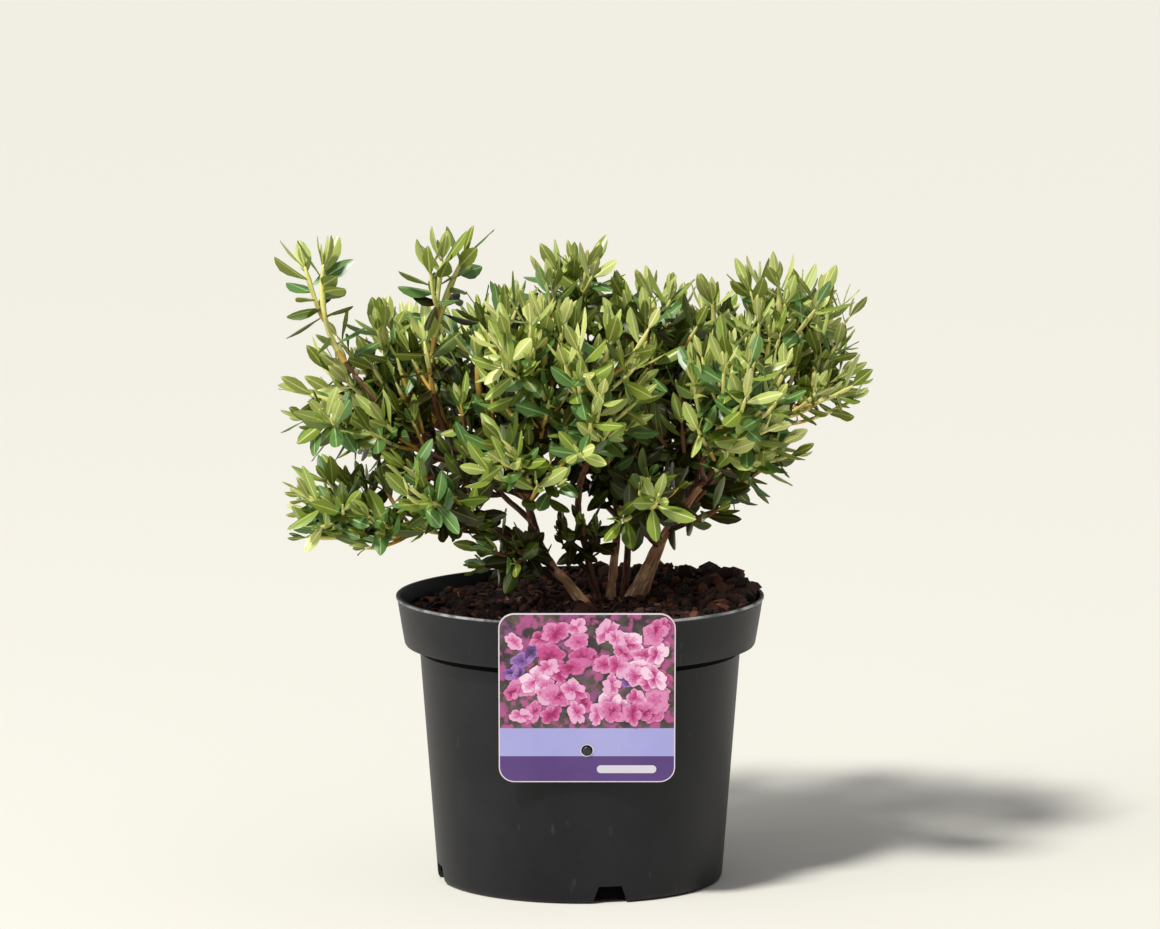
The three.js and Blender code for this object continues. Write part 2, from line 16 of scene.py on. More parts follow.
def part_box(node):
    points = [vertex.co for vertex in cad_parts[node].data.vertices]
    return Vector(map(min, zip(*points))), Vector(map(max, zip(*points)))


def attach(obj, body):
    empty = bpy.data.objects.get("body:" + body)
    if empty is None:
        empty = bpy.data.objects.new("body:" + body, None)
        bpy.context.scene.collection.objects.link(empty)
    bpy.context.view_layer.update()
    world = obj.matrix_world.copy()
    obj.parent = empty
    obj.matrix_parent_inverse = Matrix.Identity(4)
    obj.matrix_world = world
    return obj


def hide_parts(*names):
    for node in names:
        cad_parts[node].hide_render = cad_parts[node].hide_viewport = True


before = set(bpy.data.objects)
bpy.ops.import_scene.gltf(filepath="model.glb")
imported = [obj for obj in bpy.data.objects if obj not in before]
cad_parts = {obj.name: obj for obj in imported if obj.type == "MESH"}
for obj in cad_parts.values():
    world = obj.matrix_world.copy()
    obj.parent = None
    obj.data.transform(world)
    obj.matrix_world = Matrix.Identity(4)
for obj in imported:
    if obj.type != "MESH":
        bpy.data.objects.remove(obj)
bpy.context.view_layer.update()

# ---------------------------------------------------------------- named sizes

MM = 0.001
GAP = 0.3

POT = Sizes(
    height=148, rim_radius=95, skirt_height=25.5, skirt_foot_radius=90.6,
    shoulder_radius=82.9, base_radius=73.9, wall=1.4, floor=1.8, segments=144,
)
NOTCH = Sizes(count=4, first_angle=12, height=9, foot=19, crown=12, reach=15)
SOIL = Sizes(
    centre_height=142.7, pad=(14, 8), pad_radius=27, slope=25, rise=5.5, rear_rise=2, lump=1.3,
    crumbs=1700, flakes=420,
)
LABEL = Sizes(width=89, height=90, corner=8, thickness=0.8, top=153.5, x=3.5, hole=2.9, margin=0.6)
STUD = Sizes(head_radius=2.3, shank_radius=1.4, head=1.2, from_foot=17, shank=3.1)

LEAF = Sizes(
    length=20.4, width=6.6, thickness=0.3, over_tip=0.76, fallen_behind=30, fallen_share=0.3,
)
RIB = Sizes(half_at_tip=0.2, more_at_root=0.3, sunk=0.14, proud_below=0.16)
LEADER = Sizes(girth=1.7, middle=0.55)
SIDE_SHOOT = Sizes(girth=1.35, rise=18, lift=5, extra=7)
FINER_TWIG = Sizes(girth=1.1, tries=140, lengths=(18, 44), leans=(26, 54), upward=0.4, droop=5)
# The least room between leaves' middles, between shoots' tips, and to limbs and the pot's rim.
ROOM = Sizes(leaf=2.3, tip=10.5, leaf_to_limb=0.6, twig_to_limb=0.8, beside_rim=2, below_rim=5)
# How far a mass's leaves may pass its solid's box, its top and its own space.
LEEWAY = Sizes(box=4, top=3, space=8, shoot_space=3)
CROWN = Sizes(centre=(0, 5, 226), reach=(146, 108, 108), shade_top=232, shade_depth=56)
CAMERA = Sizes(distance=3.2, height=0.657, pitch=7.857, lens=194.7, sensor=36)
GOLDEN_ANGLE = math.radians(137.5)

# Each limb: foot (or the limb it leaves and at which share of it), way point, tip, and its
# radius at the root and the tip.
STEMS = {
    "stem_left": ([2, 0], [-19, -4, 171], [-28, -8, 200], [2.8, 1.9]),
    "stem_centre": ([9, 9], [-1, -8, 194], [5, -55, 230], [2.1, 1.3]),
    "stem_back": ([16, 16], [19, 24, 200], [1, 26, 250], [2.3, 1.3]),
    "stem_right": ([25, 5], [46, -2, 183], [79, -12, 228], [3.0, 1.7]),
    "stem_rear_right": ([32, 15], [50, 40, 186], [75, 60, 233], [2.3, 1.3]),
    "stem_rear": ([23, 24], [27, 48, 186], [31, 76, 232], [2.0, 1.2]),
}
BOUGHS = {
    "bough_left_rise": ("stem_left", 1, [-49, -10, 209], [-64, -14, 228], [1.8, 1.2]),
    "bough_left_low": ("stem_left", 0.55, [-50, -24, 187], [-90, -35, 186], [1.7, 1.1]),
    "bough_left_shelf": ("bough_left_rise", 0.5, [-72, -17, 221], [-95, -25, 236], [1.3, 1]),
    "bough_left_crest": ("bough_left_rise", 0.72, [-74, 0, 228], [-86, 6, 241], [1.3, 1]),
    "bough_far_left": ("bough_left_shelf", 0.6, [-101, -21, 247], [-120, -20, 271], [1.1, 0.9]),
    "bough_centre_left": ("stem_left", 0.86, [-25, -32, 210], [-21, -50, 231], [1.6, 1.1]),
    "bough_centre_low": ("stem_left", 0.7, [-26, -38, 193], [-26, -60, 214], [1.3, 0.9]),
    "bough_crest_left": ("stem_back", 0.5, [-8, 32, 222], [-30, 31, 240], [1.4, 1]),
    "bough_crest_right": ("stem_back", 0.6, [30, 16, 228], [36, 10, 244], [1.3, 1]),
    "bough_right_low": ("stem_right", 0.88, [70, -25, 218], [74, -37, 224], [1.3, 0.9]),
    "bough_far_right": ("stem_right", 1, [97, -15, 236], [112, -15, 249], [1.5, 1]),
    "bough_right_top": ("stem_right", 0.94, [85, -6, 244], [93, -5, 258], [1.4, 1]),
    "bough_right_corner": ("bough_right_top", 0.4, [101, 14, 249], [113, 28, 260], [1.2, 0.9]),
    "bough_right_crest": ("stem_right", 0.7, [60, 12, 220], [66, 24, 240], [1.5, 1]),
    "bough_right_front": ("stem_right", 0.76, [62, -34, 219], [68, -55, 236], [1.5, 1]),
    "bough_low_front": ("stem_right", 0.33, [31, -28, 187], [31, -51, 204], [1.3, 0.9]),
    "bough_back_left": ("stem_left", 0.78, [-48, 25, 204], [-72, 56, 229], [1.6, 1.1]),
    "bough_back_centre": ("stem_back", 0.38, [-4, 50, 205], [-30, 74, 234], [1.5, 1.1]),
}


def mass(name, on, top, spread, shoots, at=1, size=1, fine=1, green=0.12):
    """A mass of foliage: the limb it grows from, its highest point, how far it spreads, how richly
    it branches into finer twigs, and how far its leaves are darkened as painted shade (its green)."""
    return Sizes(
        name=name, on=on, top=top, spread=spread, shoots=shoots, at=at, size=size, fine=fine,
        green=green,
    )


MASSES = [
    mass("far_left_spire", "bough_far_left", [-134, -20, 336], 6, 1, fine=0, green=0.9),
    mass("left_shelf", "bough_left_shelf", [-152, -36, 263], 22, 4, fine=1.2),
    mass("low_left", "bough_left_low", [-141, -42, 222], 24, 4, fine=2.2, green=0.6),
    mass("left_crest", "bough_left_crest", [-106, 4, 303], 22, 3, fine=0.8),
    mass("tall_spire", "bough_left_rise", [-58, -15, 341], 7, 2, fine=0.15, green=0.6),
    mass("mid_left", "bough_left_low", [-98, -76, 232], 24, 4, at=0.5, fine=0.7, green=0.6),
    mass("inner_left", "bough_left_rise", [-54, -34, 290], 19, 3, at=0.45, fine=1.1),
    mass("centre_left", "bough_centre_left", [-18, -66, 314], 19, 4),
    mass("centre_front", "stem_centre", [17, -88, 306], 18, 3),
    mass("crest_left", "bough_crest_left", [-33, 28, 309], 18, 3, fine=0.7),
    mass("crest_centre", "stem_back", [-3, 25, 329], 10, 3, fine=0.6),
    mass("crest_right", "bough_crest_right", [37, 4, 318], 18, 3),
    mass("right_crest", "bough_right_crest", [69, 26, 313], 18, 3, fine=0.8),
    mass("right_top", "bough_right_top", [104, -8, 325], 13, 3, fine=0.5),
    mass("right_corner", "bough_right_corner", [113, 31, 315], 10, 3, fine=0.3),
    mass("far_right", "bough_far_right", [127, -15, 294], 9, 3, fine=0.3, size=0.95),
    mass("right_front", "bough_right_front", [77, -78, 298], 18, 3),
    mass("right_low", "bough_right_low", [95, -65, 260], 15, 3, fine=0.7),
    mass("inner_right", "stem_right", [50, -26, 270], 19, 3, at=0.62, fine=1.6),
    mass("centre_low", "bough_centre_low", [-46, -88, 250], 18, 3, fine=0.7),
    mass("low_front", "bough_low_front", [38, -84, 228], 16, 3, fine=0.6, green=2.3),
    mass("centre_inner", "stem_back", [-8, -6, 258], 20, 3, at=0.42, fine=1.8),
    mass("back_left", "bough_back_left", [-97, 88, 292], 21, 3, fine=0.7),
    mass("back_centre", "bough_back_centre", [-42, 108, 297], 21, 3),
    mass("back_right", "stem_rear", [34, 110, 303], 21, 3),
    mass("rear_right", "stem_rear_right", [98, 88, 297], 21, 3, fine=0.7),
    mass("inner_back", "stem_rear", [6, 64, 270], 19, 3, at=0.5, fine=1.6),
    mass("low_back_left", "bough_back_left", [-122, 62, 232], 19, 3, at=0.45, fine=0.6, green=0.8),
    mass("low_back_right", "stem_rear_right", [107, 82, 240], 16, 3, at=0.5),
    mass("low_inner", "stem_centre", [0, -26, 195], 16, 3, at=0.2, size=0.8, fine=0.9),
    mass("low_centre", "stem_left", [-50, -42, 190], 14, 3, at=0.42, size=0.8, fine=0.9),
    mass("low_right_twig", "stem_right", [79, -32, 200], 8, 2, at=0.42, size=0.75, fine=0),
]

# ---------------------------------------------------------------- colours and node trees


def tint(red, green, blue):
    """The linear colour of a paint that is given from 0 to 255."""
    shares = [value / 255 for value in (red, green, blue)]
    return (*[s / 12.92 if s <= 0.04045 else ((s + 0.055) / 1.055) ** 2.4 for s in shares], 1)


class Wiring:
    """A node tree, with one short word for adding a node and joining it to earlier ones."""

    def __init__(self, tree):
        self.tree = tree

    def add(self, kind, values, **settings):
        node = self.tree.nodes.new(kind)
        for name, value in settings.items():
            setattr(node, name, value)
        for socket, value in values.items():
            if isinstance(value, bpy.types.NodeSocket):
                self.tree.links.new(value, node.inputs[socket])
            else:
                node.inputs[socket].default_value = value
        return node

    def speckle(self, vector, scale, detail=4, roughness=0.6):
        values = {"Vector": vector, "Scale": scale, "Detail": detail, "Roughness": roughness}
        return self.add("ShaderNodeTexNoise", values).outputs[0]

    def spread(self, value, low, high, new_low=0, new_high=1):
        values = {0: value, 1: low, 2: high, 3: new_low, 4: new_high}
        return self.add("ShaderNodeMapRange", values).outputs[0]

    def patches(self, vector, scale, detail, roughness, low, high):
        """Noise that is cut down to patches, 0 up to one of its values and 1 from another."""
        return self.spread(self.speckle(vector, scale, detail, roughness), low, high)

    def stretch(self, vector, scale):
        return self.add("ShaderNodeMapping", {"Vector": vector, "Scale": scale}).outputs[0]

    def blend(self, share, first, second):
        values = {0: share, 6: first, 7: second}
        return self.add("ShaderNodeMix", values, data_type="RGBA").outputs[2]

    def figure(self, operation, first, second):
        return self.add("ShaderNodeMath", {0: first, 1: second}, operation=operation).outputs[0]


def effect(name, inputs, outputs, build):
    """A node group: build gets its wiring and its inputs, and returns the values of its outputs."""
    tree = bpy.data.node_groups.new(name, "ShaderNodeTree")
    for label, kind in inputs:
        tree.interface.new_socket(label, in_out="INPUT", socket_type=f"NodeSocket{kind}")
    for label, kind in outputs:
        tree.interface.new_socket(label, in_out="OUTPUT", socket_type=f"NodeSocket{kind}")
    wiring = Wiring(tree)
    given = wiring.add("NodeGroupInput", {}).outputs
    wiring.add("NodeGroupOutput", dict(enumerate(build(wiring, given))))
    return tree


def plain(name, colour, roughness=0.5, **finish):
    """A material of one colour for small pieces, whose variety comes from their many tints."""
    material = bpy.data.materials.new(name)
    material.use_nodes = True
    shader = material.node_tree.nodes["Principled BSDF"]
    shader.inputs["Base Color"].default_value = colour
    shader.inputs["Roughness"].default_value = roughness
    for socket, value in finish.items():
        shader.inputs[socket.replace("_", " ")].default_value = value
    return material


def paints(name, tints, roughness):
    """One plain material for each of several tints."""
    return [plain(f"{name}_{i}", tint(*colour), roughness) for i, colour in enumerate(tints)]


def worked(name, build, **finish):
    """A material whose colour, roughness and height are worked out over the surface by build."""
    material = plain(name, (1, 1, 1, 1), **finish)
    wiring = Wiring(material.node_tree)
    shader = material.node_tree.nodes["Principled BSDF"]
    colour, roughness, height, depth = build(wiring)
    bump = wiring.add("ShaderNodeBump", {"Height": height, "Distance": depth * MM}).outputs[0]
    for socket, value in (("Base Color", colour), ("Roughness", roughness), ("Normal", bump)):
        wiring.tree.links.new(value, shader.inputs[socket])
    return material


def wear_group(wiring, given):
    """Where a film of dust has settled, and the small pale marks of handling."""
    film = wiring.patches(given["Vector"], 17, 5, 0.62, 0.38, 0.72)
    drawn = wiring.stretch(given["Vector"], (1, 1, 0.35))
    marks = wiring.patches(drawn, 190, 2, 0.5, 0.69, 0.78)
    return [
        wiring.figure("MULTIPLY", film, given["Film"]),
        wiring.figure("MULTIPLY", marks, given["Marks"]),
        wiring.speckle(given["Vector"], 900, 3, 0.7),
    ]


HANDLING = effect(
    "handling",
    [("Vector", "Vector"), ("Film", "Float"), ("Marks", "Float")],
    [("Film", "Float"), ("Marks", "Float"), ("Grain", "Float")],
    wear_group,
)


def handled(name, colour, dust, film, marks, roughness, depth, **finish):
    """A smooth surface under dust and marks, as the pot, the card and the stud have it. Its
    colour is one tint, or is worked out by a function of the wiring and the place."""

    def build(wiring):
        place = wiring.add("ShaderNodeTexCoord", {}).outputs["Object"]
        values = {"Vector": place, "Film": film, "Marks": marks}
        wear = wiring.add("ShaderNodeGroup", values, node_tree=HANDLING).outputs
        ground = colour(wiring, place) if callable(colour) else colour
        dusty = wiring.blend(wear["Film"], ground, dust)
        marked = wiring.blend(wear["Marks"], dusty, dust)
        worn = wiring.figure("ADD", wear["Film"], wear["Marks"])
        rough = wiring.spread(worn, 0, 1, roughness, min(1, roughness + 0.35))
        return marked, rough, wear["Grain"], depth

    return worked(name, build, **finish)


def bark_group(wiring, given):
    """Long fissures and flakes that run with the limb."""
    fissure = wiring.speckle(given["Vector"], 0.34, 4, 0.55)
    flake = wiring.speckle(wiring.stretch(given["Vector"], (1, 1, 1.6)), 0.42, 2, 0.5)
    share = wiring.spread(fissure, 0.32, 0.56)
    pale = wiring.spread(flake, 0.56, 0.68)
    colour = wiring.blend(share, given["Fissure"], given["Bark"])
    colour = wiring.blend(pale, colour, given["Flake"])
    height = wiring.figure("ADD", fissure, wiring.figure("MULTIPLY", flake, 0.5))
    return [colour, wiring.spread(share, 0, 1, 0.92, 0.7), height]


BARK_FIGURE = effect(
    "bark_figure",
    [("Vector", "Vector"), ("Fissure", "Color"), ("Bark", "Color"), ("Flake", "Color")],
    [("Color", "Color"), ("Roughness", "Float"), ("Height", "Float")],
    bark_group,
)


def bark(name, fissure, ground, flake):
    """Bark of three tints, laid out by the limb's own grain, with a relief 0.35 mm deep."""

    def build(wiring):
        grain = wiring.add("ShaderNodeAttribute", {}, attribute_name="grain").outputs["Vector"]
        tints = {"Fissure": tint(*fissure), "Bark": tint(*ground), "Flake": tint(*flake)}
        values = {"Vector": grain, **tints}
        figure = wiring.add("ShaderNodeGroup", values, node_tree=BARK_FIGURE).outputs
        return figure["Color"], figure["Roughness"], figure["Height"], 0.35

    return worked(name, build)


def compost_surface(wiring):
    """Dark moist compost with redder and blacker patches and a crumbly grain."""
    place = wiring.add("ShaderNodeTexCoord", {}).outputs["Object"]
    patch = wiring.patches(place, 70, 4, 0.6, 0.4, 0.64)
    crumb = wiring.speckle(place, 420, 6, 0.75)
    bits = wiring.patches(place, 260, 2, 0.5, 0.64, 0.7)
    colour = wiring.blend(patch, tint(26, 16, 13), tint(60, 37, 28))
    colour = wiring.blend(wiring.spread(crumb, 0.35, 0.7), colour, tint(46, 28, 21))
    colour = wiring.blend(bits, colour, tint(92, 60, 44))
    return colour, wiring.spread(patch, 0, 1, 0.75, 0.95), crumb, 1.6


def printed_ground(wiring, place):
    """The dim leaves, shade and farther blossoms that the printed blossoms stand before."""
    patch = wiring.patches(place, 95, 4, 0.6, 0.4, 0.62)
    glow = wiring.patches(place, 60, 3, 0.5, 0.52, 0.68)
    far = wiring.patches(place, 150, 2, 0.5, 0.47, 0.56)
    leafy = wiring.blend(patch, tint(42, 30, 38), tint(84, 76, 62))
    blooms = wiring.blend(glow, tint(170, 76, 132), tint(104, 60, 118))
    return wiring.blend(far, leafy, blooms)


def potting_plastic(wiring, place):
    """Charcoal plastic, a little bluer and greyer in broad upright clouds."""
    cloud = wiring.patches(wiring.stretch(place, (1, 1, 0.3)), 14, 3, 0.5, 0.35, 0.7)
    return wiring.blend(cloud, tint(10, 11, 16), tint(16, 17, 24))


def rubbed_plastic_painted_highlight(wiring, place):
    """The lip's plastic, rubbed pale in patches where pots have been stacked and carried, and made
    paler still as a painted highlight along the bead.
    """
    rub = wiring.patches(place, 55, 4, 0.6, 0.42, 0.62)
    return wiring.blend(rub, tint(52, 53, 56), tint(176, 176, 176))


# ---------------------------------------------------------------- making pieces


def pick(thing):
    """Selects one object alone and makes it the active one."""
    bpy.ops.object.select_all(action="DESELECT")
    thing.select_set(True)
    bpy.context.view_layer.objects.active = thing


def settle(thing):
    """Puts an object's place, turn and size into its mesh."""
    pick(thing)
    bpy.ops.object.transform_apply(location=True, rotation=True, scale=True)


@contextmanager
def edit_mode(thing):
    """Edit mode with the whole mesh selected, and then object mode again."""
    pick(thing)
    bpy.ops.object.mode_set(mode="EDIT")
    bpy.ops.mesh.select_all(action="SELECT")
    yield
    bpy.ops.object.mode_set(mode="OBJECT")


def face_outwards():
    """Turns all faces of the mesh that is edited to its outside."""
    bpy.ops.mesh.select_all(action="SELECT")
    bpy.ops.mesh.normals_make_consistent(inside=False)


def put_in_scene(name, data, place=(0, 0, 0), turn=(0, 0, 0)):
    """A new object with this data, in the scene."""
    made = bpy.data.objects.new(name, data)
    made.location = place
    made.rotation_euler = turn
    bpy.context.scene.collection.objects.link(made)
    return made


def finish_piece(thing, nodes, smooth_below=None):
    """Smooths a piece when an angle is given, hangs it on the root body and hides the nodes that it
    stands for.
    """
    if smooth_below is not None:
        pick(thing)
        bpy.ops.object.shade_smooth_by_angle(angle=math.radians(smooth_below))
    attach(thing, "root")
    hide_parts(*nodes)


class Bundle:
    """Many small shapes that are joined as one piece; each face has the number of its material."""

    def __init__(self):
        self.points = []
        self.faces = []
        self.looks = []
        self.grain = []
        self.count = 0

    def add(self, points, faces, looks, grain=None):
        self.points.append(points)
        self.faces += [tuple(corner + self.count for corner in face) for face in faces]
        self.looks += looks
        if grain is not None:
            self.grain.append(grain)
        self.count += len(points)

    def piece(self, name, materials):
        data = bpy.data.meshes.new(name)
        data.from_pydata((np.concatenate(self.points) * MM).tolist(), [], self.faces)
        for material in materials:
            data.materials.append(material)
        data.polygons.foreach_set("material_index", self.looks)
        if self.grain:
            layer = data.attributes.new("grain", "FLOAT_VECTOR", "POINT")
            layer.data.foreach_set("vector", np.concatenate(self.grain).ravel())
        data.update()
        return put_in_scene(name, data)


def unit(vector):
    return vector / np.linalg.norm(vector)


def lerp(first, second, share):
    return first + (second - first) * share


def turned(name, profile, segments):
    """A disc that is drawn out, ring by ring, through (radius, height) pairs to its last disc."""
    radius, height = profile[0]
    bpy.ops.mesh.primitive_circle_add(
        vertices=segments, radius=radius * MM, location=(0, 0, height * MM), fill_type="NGON",
    )
    made = bpy.context.object
    made.name = name
    with edit_mode(made):
        for next_radius, next_height in profile[1:]:
            rise = (next_height - height) * MM
            bpy.ops.mesh.extrude_region_move(TRANSFORM_OT_translate={"value": (0, 0, rise)})
            share = next_radius / radius
            level = next_height * MM
            bpy.ops.transform.resize(value=(share, share, 1), center_override=(0, 0, level))
            radius, height = next_radius, next_height
        face_outwards()
    settle(made)
    return made


def cut_away(thing, tool):
    """Takes the tool's shape out of thing and removes the tool."""
    pick(thing)
    cut = thing.modifiers.new("cut", "BOOLEAN")
    cut.operation = "DIFFERENCE"
    cut.solver = "EXACT"
    cut.object = tool
    bpy.ops.object.modifier_apply(modifier=cut.name)
    bpy.data.objects.remove(tool)


# ---------------------------------------------------------------- pot

shoulder_height = POT.height - POT.skirt_height


def skirt_inside(height):
    share = (height - shoulder_height) / POT.skirt_height
    return lerp(POT.skirt_foot_radius, POT.rim_radius - 0.8, share) - POT.wall


def drain_notch(angle):
    """A block, narrower at its top, that cuts one notch through the pot's foot. It stands 5 mm
    out of the pot and 1 mm below it."""
    bpy.ops.mesh.primitive_cube_add(size=1)
    tool = bpy.context.object
    tool.scale = ((NOTCH.reach + 5) * MM, NOTCH.foot * MM, (NOTCH.height + 1) * MM)
    middle = POT.base_radius - NOTCH.reach + (NOTCH.reach + 5) / 2
    tool.location = (middle * MM, 0, (NOTCH.height - 1) / 2 * MM)
    settle(tool)
    for corner in tool.data.vertices:
        if corner.co.z > 0:
            corner.co.y *= NOTCH.crown / NOTCH.foot
    tool.rotation_euler.z = math.radians(angle)
    settle(tool)
    return tool


def pot_profile():
    """The pot's outline, from its underside up round the skirt and the bead, and down inside."""
    rim, foot, base = POT.rim_radius, POT.skirt_foot_radius, POT.base_radius
    lip_inside = skirt_inside(POT.height)
    bead = [
        (rim + 0.55 * math.cos(turn) - 0.45, POT.height - 0.75 + 0.8 * math.sin(turn))
        for turn in np.radians(np.linspace(-60, 90, 7))
    ]
    wall = [
        (lerp(base, POT.shoulder_radius, share), lerp(3.4, shoulder_height - 1, share))
        for share in (*np.linspace(0, 0.9, 9), 0.978, 1)
    ]
    return [
        (base - 3, 0),
        (base - 1.2, 0.5),
        (base - 0.3, 1.6),
        *wall,
        (POT.shoulder_radius + 0.6, shoulder_height - 0.15),
        (foot - 1.6, shoulder_height),
        (foot - 0.5, shoulder_height + 0.35),
        (foot, shoulder_height + 1.2),
        (lerp(foot, rim, 0.3), lerp(shoulder_height, POT.height, 0.34)),
        (lerp(foot, rim, 0.62), lerp(shoulder_height, POT.height, 0.68)),
        (rim - 0.75, POT.height - 2.4),
        (rim - 0.55, POT.height - 1.7),
        *bead,
        (lip_inside + 0.4, POT.height),
        (lip_inside, POT.height - 0.7),
        (skirt_inside(shoulder_height + 13), shoulder_height + 13),
        (skirt_inside(shoulder_height + 2.6), shoulder_height + 2.6),
        (foot - 2.4, shoulder_height + POT.wall),
        (POT.shoulder_radius - POT.wall, shoulder_height + POT.wall),
        (base - POT.wall, POT.floor + 2.2),
        (base - POT.wall - 2, POT.floor),
    ]


def pot_look(x, y, z):
    """The pot's plastic is rubbed pale on its bead, partly as a painted highlight, and painted
    near-black in a band under its skirt as painted shade.
    """
    away = math.hypot(x, y)
    # The bead's faces get the rubbed plastic, whose paleness is partly real wear and partly a
    # painted highlight.
    if z > POT.height - 1.3 and away > POT.rim_radius - 0.75:
        return 1
    # A band just under the skirt gets near-black plastic with little sheen: painted shade.
    in_painted_shade_band = shoulder_height - 3.6 < z < shoulder_height + 0.2
    return 2 if in_painted_shade_band and away > POT.shoulder_radius - 1 else 0


def make_pot():
    pot = turned("nursery_pot", pot_profile(), POT.segments)
    for index in range(NOTCH.count):
        cut_away(pot, drain_notch(NOTCH.first_angle + index * 360 / NOTCH.count))
    for name, colour, dust, film, marks, roughness, sheen in (
        ("charcoal_plastic", potting_plastic, (104, 106, 110), 0.05, 0.11, 0.46, 0.28),
        # pale rubbed plastic on the bead, partly a painted highlight
        ("rubbed_lip_painted_highlight", rubbed_plastic_painted_highlight, (190, 190, 190), 0.2, 0.6, 0.34, 0.6),
        # near-black plastic with little sheen: painted shade under the skirt
        ("painted_shade_plastic", tint(6, 6, 8), (20, 20, 22), 0.05, 0.05, 0.8, 0.04),
    ):
        pot.data.materials.append(handled(
            name, colour, tint(*dust), film, marks, roughness, 0.05, Specular_IOR_Level=sheen))
    for face in pot.data.polygons:
        face.material_index = pot_look(*face.center / MM)
    finish_piece(pot, ["pot"], smooth_below=40)


# ---------------------------------------------------------------- compost


def soil_height(x, y):
    """The compost is level around the stems, low on the left and heaped right and back."""
    away = np.hypot(x - SOIL.pad[0], y - SOIL.pad[1]) - SOIL.pad_radius
    step = np.clip(away / SOIL.slope, 0, 1)
    share = step * step * (3 - 2 * step)
    heap = (SOIL.rise * x + SOIL.rear_rise * y) / POT.rim_radius
    lumps = np.sin(x / 7 + 1.3) * np.cos(y / 6 - 0.4) + 0.6 * np.sin((x + y) / 4.1)
    return SOIL.centre_height + share * (heap + SOIL.lump * lumps)


def crumbly(x, y):
    """The small lumps of the surface, smaller against the pot's wall."""
    place = Vector((x, y, 0))
    coarse = noise.fractal(place / 9, 0.9, 2.1, 3)
    fine = noise.fractal(place / 3 + Vector((7, 3, 0)), 0.8, 2, 2)
    room = min(1, (POT.rim_radius - 2.5 - math.hypot(x, y)) / 6)
    return (1.5 * coarse + 0.9 * fine) * max(0.2, room)


def make_compost():
    bottom = POT.floor + GAP
    side = POT.wall + GAP + 0.1
    ledge = shoulder_height + POT.wall + GAP
    inside = (POT.base_radius - side, POT.shoulder_radius - side)
    body = [
        (inside[0] - 2.1, bottom),
        (inside[0], bottom + 2.2),
        (lerp(*inside, 0.1), lerp(bottom + 2.2, ledge, 0.1)),
        (inside[1], ledge),
        (POT.skirt_foot_radius - side - 1.2, ledge),
        (skirt_inside(ledge + 6) - GAP, ledge + 6),
    ]
    rings = [(radius, POT.height) for radius in np.arange(91, 1, -1.8)]
    compost = turned("compost_bed", [*body, *rings], 120)
    for vertex in compost.data.vertices:
        x, y, z = vertex.co / MM
        if z > POT.height - 1:
            vertex.co.z = float(soil_height(x, y) + crumbly(x, y)) * MM
    compost.data.materials.append(worked("moist_compost", compost_surface))
    # Below 30 mm, where the drain notches open onto the compost, it is near-black: painted shade.
    compost.data.materials.append(
        plain("painted_shade_compost", tint(4, 4, 4), 0.9, Specular_IOR_Level=0.03))
    for face in compost.data.polygons:
        face.material_index = 1 if face.center.z < 30 * MM else 0
    finish_piece(compost, ["soil"], smooth_below=60)


def rock_template():
    """The twelve corners and twenty faces of a crumb before it is roughened."""
    bpy.ops.mesh.primitive_ico_sphere_add(subdivisions=1, radius=1)
    seed = bpy.context.object
    corners = np.array([vertex.co[:] for vertex in seed.data.vertices])
    faces = [tuple(face.vertices) for face in seed.data.polygons]
    bpy.data.objects.remove(seed)
    return corners, faces


def slab_template():
    """A six-sided flake of bark, thin and a little arched."""
    turns = np.linspace(0, 2 * math.pi, 6, endpoint=False)
    ring = np.stack([np.cos(turns), 0.6 * np.sin(turns)], axis=1)
    arch = 0.16 * (1 - ring[:, :1] ** 2)
    top = np.hstack([ring, arch + 0.1])
    under = np.hstack([ring, arch - 0.1])
    sides = [(i + 6, (i + 1) % 6 + 6, (i + 1) % 6, i) for i in range(6)]
    return np.vstack([top, under]), [tuple(range(6)), tuple(range(11, 5, -1)), *sides]


def random_turn(draw, upright=1.0):
    """A random rotation; one with a small upright share lies nearly flat."""
    spin = draw.uniform(0, 2 * math.pi)
    lean = draw.uniform(0, math.pi) * upright
    way = draw.uniform(0, 2 * math.pi)
    axis = Vector((math.cos(way), math.sin(way), 0))
    return np.array(Matrix.Rotation(lean, 3, axis) @ Matrix.Rotation(spin, 3, "Z"))


def scattered(draw, edge=91):
    """A place on the compost and its height."""
    radius = edge * math.sqrt(draw.uniform())
    angle = draw.uniform(0, 2 * math.pi)
    x, y = radius * math.cos(angle), radius * math.sin(angle)
    return x, y, float(soil_height(x, y)) + crumbly(x, y)


CRUMB_TINTS = [(56, 31, 24), (76, 43, 32), (102, 58, 42), (34, 21, 18), (130, 80, 58)]
CRUMB_SHARES = [0.3, 0.26, 0.14, 0.24, 0.06]
FLAKE_TINTS = [(122, 66, 50), (88, 52, 38), (154, 94, 72), (64, 40, 30), (168, 122, 84)]
FLAKE_SHARES = [0.26, 0.3, 0.12, 0.24, 0.08]


